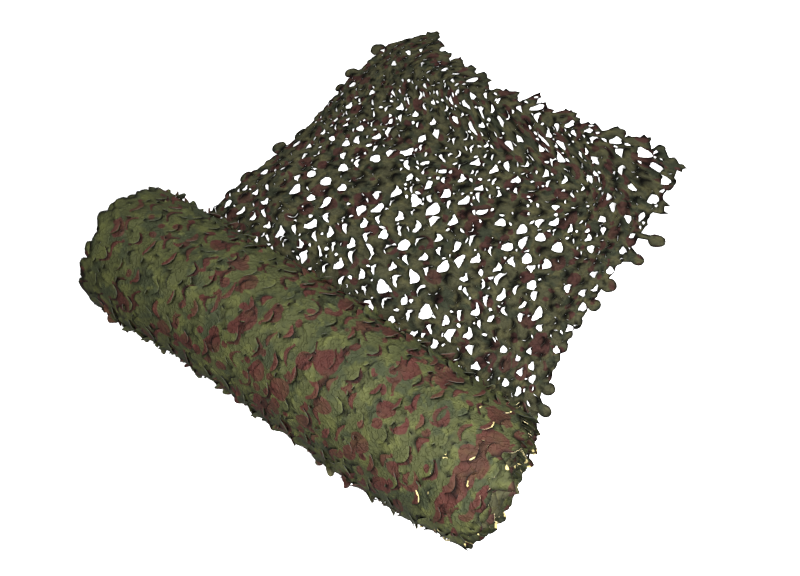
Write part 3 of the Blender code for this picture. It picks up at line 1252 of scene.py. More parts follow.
class Fold(NamedTuple):
    """A soft ridge of the loose end, along a straight line on the floor."""

    x0: float
    y0: float
    x1: float
    y1: float
    half_width: float
    height: float

    def lift(self, x: Array, y: Array) -> Array:
        """Finds how high the fold holds the sheet off the floor.

        Args:
            x: The places' x.
            y: Their y.

        Returns:
            The height at each place.
        """
        run = np.array([self.x1 - self.x0, self.y1 - self.y0])
        share = np.clip(((x - self.x0) * run[0] + (y - self.y0) * run[1]) / (run @ run), 0.0, 1.0)
        off = np.hypot(x - self.x0 - share * run[0], y - self.y0 - share * run[1]) / self.half_width
        return self.height * np.clip(1 - off**2, 0.0, None) ** 2


@dataclass
class LooseEnd:
    """The loose end: the net as it lies behind the roll, drawn together here and there."""

    sides: tuple[BothSides, ...] = table(  # the x of its side edges, by distance from the roll
        BothSides,
        (0.00, -0.745, 0.745), (0.20, -0.775, 0.715), (0.36, -0.800, 0.655),
        (0.60, -0.798, 0.622), (0.88, -0.762, 0.618), (1.08, -0.770, 0.630),
        (1.30, -0.790, 0.625), (1.54, -0.772, 0.618), (1.80, -0.740, 0.610),
    )
    far_edge: tuple[Pair, ...] = (  # its notches and torn tips, from right to left
        (0.612, 1.535), (0.650, 1.576), (0.560, 1.585), (0.515, 1.636),
        (0.480, 1.590), (0.445, 1.652), (0.360, 1.595), (0.312, 1.640),
        (0.275, 1.580), (0.240, 1.602), (0.175, 1.575), (0.112, 1.622),
        (0.045, 1.560), (0.000, 1.605), (-0.025, 1.575), (-0.055, 1.640),
        (-0.095, 1.545), (-0.145, 1.592), (-0.245, 1.540), (-0.310, 1.632),
        (-0.335, 1.600), (-0.365, 1.635), (-0.400, 1.615), (-0.448, 1.665),
        (-0.475, 1.615), (-0.500, 1.662), (-0.550, 1.640), (-0.570, 1.688),
        (-0.605, 1.700), (-0.635, 1.745), (-0.690, 1.672), (-0.735, 1.615),
    )
    left_leaves: tuple[EdgeLeaf, ...] = table(
        EdgeLeaf,
        (0.500, 0.012, 0.060), (0.600, 0.020, 0.065), (0.795, 0.042, 0.070), (0.900, 0.014, 0.070),
        (1.215, 0.026, 0.060), (1.315, 0.036, 0.072), (1.500, 0.048, 0.085),
    )
    right_leaves: tuple[EdgeLeaf, ...] = table(
        EdgeLeaf,
        (0.335, 0.040, 0.055), (0.412, 0.030, 0.056), (0.580, 0.012, 0.060), (0.690, 0.012, 0.050),
        (0.790, 0.034, 0.066), (0.900, 0.044, 0.072), (1.058, 0.066, 0.064), (1.172, 0.092, 0.070),
        (1.330, 0.058, 0.080, True), (1.450, 0.020, 0.080),
    )
    gathers: tuple[Patch, ...] = table(  # drawn together, by share of the width, or spread
        Patch,
        (0.07, 0.95, 0.11, 0.95, 0.42), (0.20, 1.48, 0.20, 0.22, 0.40), (0.40, 1.42, 0.10, 0.14, 0.22),
        (0.87, 0.38, 0.10, 0.20, 0.38), (0.96, 0.85, 0.06, 0.50, 0.30), (0.83, 1.26, 0.06, 0.17, 0.60),
        (0.92, 1.54, 0.08, 0.13, -0.70), (0.48, 0.60, 0.16, 0.35, -0.25),
    )
    folds: tuple[Fold, ...] = table(
        Fold,
        (0.330, 1.470, 0.500, 1.200, 0.055, 0.022), (0.420, 1.440, 0.590, 1.060, 0.050, 0.018),
        (0.560, 1.060, 0.585, 0.720, 0.050, 0.010), (-0.690, 1.560, -0.720, 1.150, 0.055, 0.016),
        (-0.560, 1.600, -0.610, 1.240, 0.050, 0.013), (-0.700, 1.080, -0.700, 0.640, 0.060, 0.010),
        (-0.440, 1.540, -0.240, 1.400, 0.055, 0.012), (-0.480, 1.400, -0.330, 1.230, 0.050, 0.009),
        (0.340, 0.400, 0.560, 0.460, 0.060, 0.011), (-0.620, 0.560, -0.430, 0.400, 0.055, 0.008),
    )
    bunches: tuple[Patch, ...] = table(  # bunched so that most openings have shut
        Patch,
        (0.50, 1.30, 0.10, 0.16, 0.85), (0.56, 1.02, 0.07, 0.16, 0.70), (0.42, 0.84, 0.11, 0.14, 0.60),
        (0.16, 0.55, 0.07, 0.08, 0.70), (0.60, 0.50, 0.08, 0.14, 0.75), (-0.40, 0.86, 0.10, 0.18, 0.65),
        (-0.56, 0.85, 0.07, 0.22, 0.35), (-0.74, 0.72, 0.07, 0.10, 0.60), (-0.28, 1.26, 0.10, 0.10, 0.60),
        (-0.05, 1.36, 0.10, 0.10, 0.60), (0.10, 1.28, 0.14, 0.12, 0.50), (-0.40, 1.10, 0.10, 0.10, 0.60),
        (0.26, 1.02, 0.13, 0.20, 0.45), (0.05, 0.86, 0.06, 0.06, 0.65), (0.36, 1.46, 0.06, 0.07, 0.85),
        (0.52, 0.76, 0.09, 0.10, 0.75), (0.44, 0.56, 0.07, 0.06, 0.50), (-0.35, 0.80, 0.08, 0.12, 0.50),
        (-0.57, 0.60, 0.07, 0.09, 0.75), (0.16, 1.38, 0.07, 0.08, 0.50), (-0.24, 1.46, 0.07, 0.07, 0.60),
        (-0.46, 0.76, 0.10, 0.13, 0.60), (0.56, 1.42, 0.06, 0.08, 0.50), (0.45, 1.20, 0.12, 0.10, 0.60),
        (0.45, 0.95, 0.09, 0.08, 0.60), (0.56, 0.62, 0.07, 0.18, 0.85), (0.44, 0.42, 0.14, 0.11, 0.65),
        (0.35, 0.86, 0.07, 0.08, 0.60), (0.34, 1.35, 0.08, 0.07, 0.70), (0.60, 0.24, 0.10, 0.13, 0.65),
        (0.42, 0.28, 0.12, 0.10, 0.45), (0.50, 0.54, 0.12, 0.12, 0.60), (-0.56, 0.98, 0.10, 0.12, 0.50),
        (-0.62, 0.44, 0.09, 0.10, 0.50), (0.17, 0.92, 0.14, 0.13, 0.45), (0.22, 1.10, 0.12, 0.09, 0.40),
        (-0.62, 0.74, 0.09, 0.12, 0.45),
    )
    kept_open: tuple[Pair, ...] = (
        (-0.011, 0.363), (-0.356, 0.411), (-0.576, 0.664), (0.498, 0.663),
        (-0.307, 0.710), (0.141, 0.711), (-0.068, 0.863), (0.289, 0.910),
        (-0.449, 1.110), (-0.053, 1.162), (0.014, 1.512), (0.489, 1.464),
    )
    kept_reach: float = 0.028  # how near to them a cut lies
    right_edge_top: float = 1.50
    left_edge_top: float = 1.56
    edge_step: float = 0.012
    edge_waves: tuple[Pair, ...] = ((0.004, 0.1), (0.003, 0.037))  # height and length
    fray_step: float = 0.013
    fray: float = 0.009  # how far a point of the torn edge strays
    hook: Pair = (0.014, 0.74)  # a hook's reach, and the luck past which there is one
    widest_gap: float = 0.040
    gap: Range = (0.013, 0.018)  # a large opening's width
    main_raised: Range = (0.001, 0.005)
    small_often: Range = (0.32, 0.58)  # the share of lesser cuts that open, and more further off
    small_drawn: Range = (0.002, 0.009)
    small_pushed: float = 0.005
    small_raised: float = 0.002
    shut: float = 0.004  # how far a shut leaf lies over its neighbour
    lines: float = 0.75  # the share of the others that show as a line of painted shade
    # how strong that line's painted shade is
    line_shade: Range = (0.35, 0.45)
    rows: int = 17
    pleat: float = 0.046  # from fold to fold
    pleat_height: float = 0.34  # of a half circle on that width
    length: float = 1.745
    grid: float = 0.0135
    # painted shade on both sides of each cut, and along the edges
    look: EdgeLook = EdgeLook(0.95, 1.0, 0.0116, 0.0034)

    def __post_init__(self) -> None:
        """Tabulates where each share of the width lies, for many distances from the roll."""
        self.table_y = np.linspace(-0.05, 1.80, 149)
        self.step_y = self.table_y[1] - self.table_y[0]
        steps = np.linspace(0.0, 1.0, 61)
        middle = (steps[1:] + steps[:-1]) / 2
        beyond = 0.12
        self.table_across = np.concatenate([[-beyond], steps, [1 + beyond]])
        rows = []
        for y in self.table_y:
            widths = self.width_share(middle, np.full(len(middle), y))
            sums = np.concatenate([[0.0], np.cumsum(widths)])
            left, right = (self.side_edge(y, end) for end in RollEnd)
            places = left + (right - left) * sums / sums[-1]
            first = places[0] - beyond * (places[1] - places[0]) / steps[1]
            last = places[-1] + beyond * (places[-1] - places[-2]) / steps[1]
            rows.append(np.concatenate([[first], places, [last]]))
        self.table_x = np.array(rows)

    def width_share(self, across: Array | float, y: Array | float) -> Array:
        """Finds how wide the net lies, against its mean.

        Args:
            across: Shares of the net's width.
            y: Distances from the roll.

        Returns:
            The width at each place, under 1 where the net is gathered.
        """
        share = np.ones_like(across)
        for gather in self.gathers:
            share = share - gather.amount * np.exp(-gather.off(across, y))
        return share

    def side_edge(self, y: float, end: RollEnd) -> float:
        """The x of a side edge at y."""
        return float(read_side(self.sides, y, end))

    def lay_out(self, across: Array, y: Array) -> Array:
        """Finds where places of the net lie on the floor.

        Args:
            across: Shares of the net's width.
            y: Distances from the roll.

        Returns:
            The x of each place.
        """
        at_y = np.clip((y - self.table_y[0]) / self.step_y, 0, len(self.table_y) - 1.001)
        row = at_y.astype(int)
        part_y = at_y - row
        column = np.clip(np.searchsorted(self.table_across, across) - 1, 0, len(self.table_across) - 2)
        start = self.table_across[column]
        part = (across - start) / (self.table_across[column + 1] - start)
        near, far = self.table_x[row], self.table_x[row + 1]
        rows = np.arange(len(column))
        low = blend(near[rows, column], near[rows, column + 1], part)
        high = blend(far[rows, column], far[rows, column + 1], part)
        return blend(low, high, part_y)

    def floor_x(self, u: float, v: float) -> float:
        """The x on the floor of one place on the net."""
        return float(self.lay_out(np.array([u / NET_WIDTH]), np.array([v]))[0])

    def to_net(self, x: float, y: float) -> Pair:
        """Finds the place on the flat net of a point on the floor.

        Args:
            x: The point's x.
            y: The point's y.

        Returns:
            The place, as (u, v).
        """
        at_y = min(max((y - self.table_y[0]) / self.step_y, 0), len(self.table_y) - 1.001)
        row = int(at_y)
        xs = self.table_x[row] * (1 - at_y + row) + self.table_x[row + 1] * (at_y - row)
        return float(np.interp(x, xs, self.table_across)) * NET_WIDTH, y

    def outline(self) -> Array:
        """Draws the loose end's edge.

        Returns:
            Its corners on the flat net, anticlockwise.
        """
        right = self._side_edge(self.right_edge_top, self.right_leaves, RollEnd.RIGHT)
        left = self._side_edge(self.left_edge_top, self.left_leaves, RollEnd.LEFT)
        left.reverse()
        places = [self.to_net(x, y) for x, y in right + self._frayed(self.far_edge) + left]
        return np.array(places + across_net(0.0, 0.02, 0.98))

    def _side_edge(self, stop: float, leaves: tuple[EdgeLeaf, ...], end: RollEnd) -> Corners:
        """Draws one side edge on the floor, from the roll outwards, with its leaves.

        Args:
            stop: The y at which it ends.
            leaves: The leaves that stand out of it.
            end: Which side it is.

        Returns:
            Its corners.
        """
        points = []
        y = 0.0
        while y <= stop:
            near = [leaf for leaf in leaves if abs(y - leaf.y) < leaf.width / 2 + 0.004]
            if near:
                leaf = near[0]
                points += leaf.outline(self.side_edge(leaf.y, end), end.value)
                y = leaf.y + leaf.width / 2 + 0.010
                continue
            wave = sum(height * math.sin(math.tau * y / length) for height, length in self.edge_waves)
            points.append((self.side_edge(y, end) + end.value * wave, y))
            y += self.edge_step
        return points

    def _frayed(self, corners: tuple[Pair, ...]) -> Corners:
        """Breaks the runs of a torn edge into short uneven ones, with a few hooks.

        Args:
            corners: The torn edge's corners.

        Returns:
            The corners, with more between them.
        """
        rng = np.random.default_rng(5)
        frayed = []
        for start, stop in zip(corners, corners[1:] + corners[-1:]):
            frayed.append(start)
            run = math.dist(start, stop)
            dx, dy = stop[0] - start[0], stop[1] - start[1]
            parts = int(run / self.fray_step)
            for k in range(1, parts):
                share = k / parts
                stray, luck = rng.random(2)
                jump = self.fray * (stray - 0.5) + (self.hook[0] if luck > self.hook[1] else 0.0)
                x = start[0] + dx * share + dy / run * jump
                y = start[1] + dy * share - dx / run * jump
                frayed.append((x, y))
        return frayed

    def set_cuts(self, cuts: list[Cut]) -> list[Cut]:
        """Opens each cut as far as the net is spread at its place.

        Args:
            cuts: The cuts, closed.

        Returns:
            Those that show, open or as a line of painted shade.
        """
        kept = []
        for cut in cuts:
            spread = float(self.width_share(cut.u / NET_WIDTH, cut.v))
            free = float(smooth_step(0.10, 0.24, cut.v))
            dense = self.density(cut)
            often = within(self.small_often, float(smooth_step(0.75, 1.1, cut.v)))
            if cut.main:
                self._open_main(cut, spread, dense)
                cut.drawn = cut.drawn * free - self.shut * (1 - free)
                cut.pushed *= free
                cut.raised = within(self.main_raised, cut.luck[6]) * free
            elif cut.luck[6] < often * (1.04 - dense):
                widened = free * max(1.0, 2 * spread - 1)
                cut.drawn = within(self.small_drawn, cut.luck[7] ** 1.5) * widened
                cut.pushed = self.small_pushed * cut.luck[8] * free
                cut.raised = self.small_raised * cut.luck[9] * free
            # a shut cut that shows only as a line of painted shade
            elif cut.luck[5] < self.lines:
                cut.drawn, cut.raised = -self.shut, self.small_raised * free
                cut.rim_shade = within(self.line_shade, cut.luck[7])
            else:
                continue
            kept.append(cut)
        return kept

    def _open_main(self, cut: Cut, spread: float, dense: float) -> None:
        """Opens a large cut: plainly at the kept places, and in a form of its own elsewhere.

        Args:
            cut: The cut.
            spread: The net's width there, against its mean.
            dense: How bunched it is.
        """
        opened = 0.40 + 0.60 * spread if spread < 1 else 1.25 * spread**2 - 0.25
        width = min(self.widest_gap, opened * within(self.gap, cut.luck[0]))
        cut.skew = 1.3 * cut.luck[3] - 0.65
        here = (self.floor_x(cut.u, cut.v), cut.v)
        if any(math.dist(here, place) < self.kept_reach for place in self.kept_open):
            cut.drawn, cut.pushed = 0.80 * width, 0.20 * width
        else:
            self._vary(cut, width, spread, dense)

    @staticmethod
    def _vary(cut: Cut, width: float, spread: float, dense: float) -> None:
        """Gives an opening a form of its own, or shuts it where the net is bunched.

        Args:
            cut: The cut.
            width: How wide it would open by itself.
            spread: The net's width there, against its mean.
            dense: How bunched it is.
        """
        luck = cut.luck
        wide = float(smooth_step(0.016, 0.028, width))
        cut.chord *= (0.60 + 0.14 * wide + 0.30 * luck[1]) * (0.45 + 0.55 * min(spread, 1.0))
        cut.leaf_depth *= cut.chord / 0.064
        cut.turn = math.radians(50) * (luck[4] - 0.5)
        cut.u += 0.011 * (luck[8] - 0.5)
        cut.v += 0.013 * (luck[9] - 0.5)
        width = max(width * (0.62 + 0.38 * max(luck[3], wide)), 0.004 + 0.012 * luck[7])
        width *= 1 - 0.35 * dense
        if fixed_noise(round(cut.u * 400), round(cut.v * 400), 9) < 0.92 * dense - 0.14 * dense**4:
            cut.drawn, cut.pushed = -0.003, 0.0  # shut
            return
        if dense > 0.5:  # a small round hole
            cut.chord *= 0.80
            cut.sagitta *= 0.75
            cut.narrow = 0.6
            cut.pushed, cut.drawn = within((0.009, 0.007), luck[6]), within((0.012, 0.010), luck[7])
            return
        form = next(form for form in GAP_FORMS if luck[5] < form.up_to(cut.v))
        cut.sagitta *= within(form.sagitta, luck[2])
        cut.narrow = within(form.narrow, luck[6])
        if form.lopsided:
            cut.skew = math.copysign(1.0 + 0.6 * luck[7], luck[2] - 0.5)
        width = min(width, form.widest * cut.sagitta)
        cut.pushed, cut.drawn = form.pushed * width, (1 - form.pushed) * width

    def density(self, cut: Cut) -> float:
        """Finds how thickly the net is bunched at a cut.

        Args:
            cut: The cut.

        Returns:
            A share from 0 to 1.
        """
        across, y = cut.u / NET_WIDTH, cut.v
        corner = smooth_step(0.55, 0.20, across + 0.9 * max(0.0, 1.5 - y)) * smooth_step(1.0, 1.3, y)
        band = 0.45 * smooth_step(0.20, 0.08, across) * smooth_step(0.5, 0.8, y)
        loose = 1 - float(max(corner, band))
        x = self.floor_x(cut.u, y)
        for bunch in self.bunches:
            loose *= 1 - bunch.amount * math.exp(-(bunch.off(x, y) ** 2))
        return 1 - loose

    def place(self, net: FlatNet, opened: OpenedNet) -> Array:
        """Lays the net on the floor.

        Args:
            net: The flat net.
            opened: Its leaves' movements.

        Returns:
            Its upper side's points.
        """
        uv = net.uv
        free = smooth_step(0.03, 0.22, uv[:, 1])
        u = uv[:, 0] + opened.shift[:, 0] + free * swells(uv, (0.0060, 0.10, 1), (0.0035, 0.034, 2))
        v = uv[:, 1] + opened.shift[:, 1] + free * swells(uv, (0.0065, 0.09, 3), (0.0035, 0.032, 4))
        x = self.lay_out(u / NET_WIDTH, v)
        squeeze = np.clip(1 - self.width_share(uv[:, 0] / NET_WIDTH, uv[:, 1]), 0.0, 0.6)
        phase = math.tau * uv[:, 0] / self.pleat + 2.4 * smooth_noise(uv, 0.16, 5)
        high = self.pleat / math.pi * np.sqrt(squeeze) * self.pleat_height
        pleats = high * (1 + np.sin(phase)) / 2
        crumple = 0.0046 + swells(uv, (0.0030, 0.075, 6), (0.0016, 0.028, 7))
        ridges = np.max([fold.lift(x, v) for fold in self.folds], axis=0)
        z = ridges + free * (pleats + crumple) + opened.height * (0.3 + 0.7 * free)
        return np.stack([x, v, z + LOWEST], axis=1)

    def build(self, die: CuttingDie, finishes: Finishes) -> Piece:
        """Makes the loose end.

        Args:
            die: The cutting die.
            finishes: The materials.

        Returns:
            The sheet, its reverse side up.
        """
        net = FlatNet(self.outline(), self.set_cuts(die.cuts(0, self.rows)), self.grid)
        opened = net.open(self.look)
        opened.spot[:] = 0.0  # its crescents are those of the print alone
        sheet = Sheet(self.place(net, opened), net.triangles, net.uv, opened.values())
        piece = sheet.build("loose_end", finishes.stack(ClothSide.REVERSE), CLOTH)
        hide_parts("net_loose_end")
        area = float(np.abs(signed_areas(net.uv, net.triangles)).sum() / 2)
        return piece


# ---- the roll


class Wave(NamedTuple):
    """A slow swell of the roll's surface: cycles along it, cycles round it, height and phase."""

    along: float
    around: int
    height: float
    phase: float


@dataclass(frozen=True)
class RollForm:
    """The form that the wound net has: a drum with swells, a turn's step and a flat underside."""

    waves: tuple[Wave, ...] = table(
        Wave,
        (1.3, 1, 0.0030, 0.4), (2.6, 2, 0.0025, 2.1), (5.2, 3, 0.0022, 4.4), (9.1, 5, 0.0016, 1.2),
    )
    bulges: tuple[Patch, ...] = table(  # by x, and by degrees from the underside
        Patch,
        (0.18, 304.0, 0.33, 27.0, 0.024), (0.78, 298.0, 0.27, 34.0, -0.034),
        (-0.52, 112.0, 0.22, 30.0, 0.014),
    )
    underside_blend: Pair = (20.0, 55.0)  # degrees
    lean: float = 0.055  # how far its right part leans forwards
    lean_from: Pair = (-0.25, 0.85)
    lean_height: float = 0.13

    def radius(self, x: Array, turned: Array) -> Array:
        """The radius at each place.

        Args:
            x: How far along the roll.
            turned: The angle from the underside, towards +Y.

        Returns:
            The radius, with its swells and the turn's step.
        """
        angle = turned - math.pi / 2
        wrapped = turned % math.tau
        from_floor = np.minimum(wrapped, math.tau - wrapped)
        free = np.interp(from_floor, np.radians(self.underside_blend), [0.0, 1.0])
        swell = np.zeros_like(x)
        for wave in self.waves:
            turns = math.tau * wave.along * x / NET_WIDTH + wave.around * angle + wave.phase
            swell = swell + wave.height * np.sin(turns)
        for bulge in self.bulges:
            swell = swell + bulge.amount * np.exp(-bulge.off(x, np.degrees(wrapped)))
        wound_in = TURN_STEP * (1 - np.clip(turned / math.tau, 0.0, 1.0))
        return ROLL_RADIUS + (swell - wound_in) * free

    def points(self, x: Array, turned: Array, off: Array) -> Array:
        """Finds the places that stand so far off the roll's surface.

        Args:
            x: How far along the roll they are.
            turned: Their angles from the underside.
            off: How far off they stand.

        Returns:
            The places, as rows.
        """
        radius = self.radius(x, turned) + off
        angle = turned - math.pi / 2
        height = np.maximum(LOWEST, AXIS_HEIGHT + radius * np.sin(angle))
        return self.leaned(np.stack([x, radius * np.cos(angle), height], axis=1))

    def leaned(self, points: Array) -> Array:
        """Moves points of the roll as far forwards as it leans.

        Args:
            points: The points, as rows.

        Returns:
            The same points.
        """
        along = smooth_step(*self.lean_from, points[:, 0])
        points[:, 1] -= self.lean * along * smooth_step(0.0, self.lean_height, points[:, 2])
        return points


END_MARKS = table(  # how far the edges lie inside the roll's ends, by degrees from the underside
    BothSides,
    (0, 0.000, 0.018), (90, 0.000, 0.040), (115, -0.046, 0.036), (132, -0.012, 0.062),
    (150, 0.012, 0.034), (163, -0.014, 0.022), (176, -0.014, 0.036), (190, -0.022, 0.004),
    (198, -0.010, -0.040), (206, -0.010, -0.008), (216, -0.004, -0.008), (232, 0.003, -0.008),
    (245, -0.008, 0.012), (258, -0.016, 0.040), (275, -0.004, 0.036), (300, -0.010, 0.032),
    (360, 0.000, 0.018),
)


def drawn_in(turned: Array, end: RollEnd) -> Array:
    """How far the net's edges lie inside the roll's nominal end, at each angle in radians."""
    return read_side(END_MARKS, np.degrees(turned) % 360, end)


@dataclass
class RollTurn:
    """One turn of the net round the roll, from the underside back to it."""

    name: str
    form: RollForm
    sunk: float  # how far under the roll's outer surface it lies
    shift_along: float  # of its pattern
    leaf_lift: float
    grid: float
    thickness: float
    edge_step: float = 0.008
    lobe: float = 0.085  # from leaf to leaf along a side edge
    lobe_start: float = 0.13
    lobe_width: float = 0.76  # a leaf's share of that length
    least_reach: float = 0.008
    more_reach: Pair = (0.028, 0.036)  # at the left end and at the right
    brims: Pair = (112, 297)  # where leaves hang free, in degrees from the underside
    brim_width: float = 0.46
    brim_crumple: float = 0.0045
    stray: Pair = (0.008, 0.010)  # how far a large cut may lie from its place
    chords: Range = (0.72, 0.36)
    bows: Range = (0.65, 0.60)
    most_turned: float = math.radians(36)
    drawn: Range = (-0.008, 0.0125)
    curled: Range = (0.06, 0.44)
    # how strong the painted shade along each large cut is
    rim_shade: Range = (0.15, 1.4)
    hanging: Range = (0.008, 0.014)
    unhung: float = 0.22  # the share of leaves that don't
    skewed: Range = (-0.7, 1.4)
    small_often: Range = (0.35, 0.55)  # the share of small cuts that show
    small_drawn: float = 0.004
    small_hanging: float = 0.010
    # painted shade outside each cut, and a painted highlight on its leaf's edge
    look: EdgeLook = EdgeLook(1.0, -0.22, 0.0060, 0.0018)
    # painted shade along the turn's side edges
    side_edge_shade: float = 0.9
    torn_from: Pair = (1.22, 1.34)  # the u past which leaf edges are torn pale

    @property
    def length(self) -> float:
        """The net's length in one turn."""
        return math.tau * (ROLL_RADIUS - self.sunk)

    def outline(self) -> Array:
        """Draws the turn's edge, with a leaf to each row along both sides.

        Returns:
            Its corners on the flat net, anticlockwise.
        """
        start, stop = self.shift_along - self.length, self.shift_along
        left, right = (self._side(start, stop, end) for end in RollEnd)
        left.reverse()
        return np.array(right + across_net(stop, 0.98, 0.02) + left + across_net(start, 0.02, 0.98))

    def _side(self, start: float, stop: float, end: RollEnd) -> Corners:
        """Draws one side edge: a round leaf to each row, some long and some torn short.

        Args:
            start: The v at which it begins.
            stop: The v at which it ends.
            end: Which side it is.

        Returns:
            Its corners.
        """
        right = end is RollEnd.RIGHT
        edge = NET_WIDTH if right else 0.0
        points = []
        for v in np.arange(start, stop, self.edge_step):
            inset = float(drawn_in(self.turned(v), end))
            place = v / self.lobe + self.lobe_start
            row = math.floor(place)
            share = (place - row) * 2 - 1
            reach = self.least_reach + self.more_reach[right] * fixed_noise(row, end.value, 7)
            lobe = reach * math.sqrt(max(0.0, 1 - (share / self.lobe_width) ** 2)) - 0.012
            lobe += 0.004 * (fixed_noise(row, int(v * 500), 8) - 0.5)
            points.append((edge + end.value * (lobe - inset), float(v)))
        return points

    def set_cuts(self, cuts: list[Cut]) -> list[Cut]:
        """Lets leaves lie over their neighbours, stand off them or hang.

        Args:
            cuts: The cuts, closed.

        Returns:
            Those that show.
        """
        kept = []
        for cut in cuts:
            luck = cut.luck
            brim = float(self.brim(float(self.turned(cut.v))))
            if cut.main:
                cut.u += self.stray[0] * (luck[6] - 0.5)
                cut.v += self.stray[1] * (luck[5] - 0.5)
                cut.chord *= within(self.chords, luck[8])
                cut.sagitta *= within(self.bows, luck[9])
                cut.turn = self.most_turned * (luck[4] - 0.5)
                cut.drawn = within(self.drawn, luck[1])
                cut.curled = within(self.curled, brim)
                cut.rim_shade = min(1.0, within(self.rim_shade, luck[0]))
                hanging = within(self.hanging, luck[5]) * brim if luck[7] > self.unhung else 0.0
                cut.raised = self.leaf_lift * (0.4 + luck[2]) + hanging
                cut.skew = within(self.skewed, luck[3])
                kept.append(cut)
            elif luck[6] < within(self.small_often, brim):
                cut.drawn = self.small_drawn * luck[7]
                cut.raised = self.leaf_lift * 0.5 + self.small_hanging * luck[8] * brim
                kept.append(cut)
        return kept

    def turned(self, v: Array | float) -> Array:
        """The angle from the underside at which each part of the net's length lies."""
        return math.tau * (1 + (v - self.shift_along) / self.length)

    def brim(self, turned: Array | float) -> Array:
        """How near each angle is to the lines along which the leaves hang free, from 0 to 1."""
        return sum(np.exp(-(((turned - math.radians(a)) / self.brim_width) ** 2)) for a in self.brims)

    def place(self, net: FlatNet, opened: OpenedNet) -> Array:
        """Winds the net round the roll.

        Args:
            net: The flat net.
            opened: Its leaves' movements.

        Returns:
            The points of its outer side.
        """
        uv = net.uv
        turned = self.turned(uv[:, 1])
        free = smooth_step(0.10, 0.60, np.minimum(turned, math.tau - turned))
        x = uv[:, 0] - NET_WIDTH / 2 + opened.shift[:, 0] + free * swells(uv, (0.004, 0.06, 21))
        along = opened.shift[:, 1] + free * swells(uv, (0.004, 0.06, 22))
        crumple = swells(uv, (0.0013, 0.070, 23), (0.0004, 0.030, 24))
        crumple += self.brim_crumple * self.brim(turned) * np.maximum(0.0, smooth_noise(uv, 0.021, 25))
        off = free * (crumple + opened.height) - self.sunk
        return self.form.points(x, turned + along / ROLL_RADIUS, off)

    def build(self, die: CuttingDie, finishes: Finishes) -> Piece:
        """Makes the turn, face side out.

        Args:
            die: The cutting die.
            finishes: The materials.

        Returns:
            The sheet.
        """
        first_row = math.floor((self.shift_along - self.length) / die.cell_along) - 1
        rows = math.ceil(self.shift_along / die.cell_along) + 1 - first_row
        net = FlatNet(self.outline(), self.set_cuts(die.cuts(first_row, rows)), self.grid)
        opened = net.open(self.look)
        # painted shade along the turn's own edge
        opened.edge[net.on_outline] = self.side_edge_shade
        opened.pale[:] = self._pale(net)
        sheet = Sheet(self.place(net, opened), net.triangles[:, ::-1], net.uv, opened.values())
        piece = sheet.build(self.name, finishes.stack(ClothSide.FACE), self.thickness)
        return piece

    def _pale(self, net: FlatNet) -> Array:
        """Finds where the coating has split: on leaf edges here and there near the right end.

        Args:
            net: The flat net.

        Returns:
            A share from 0 to 1 at each point.
        """
        torn = smooth_step(0.58, 0.66, smooth_noise(net.uv, 0.030, 27))
        edge = np.where((net.on_leaf & (net.cut_of >= 0)) | net.on_outline, 1.0, 0.0)
        return edge * smooth_step(*self.torn_from, net.uv[:, 0]) * torn


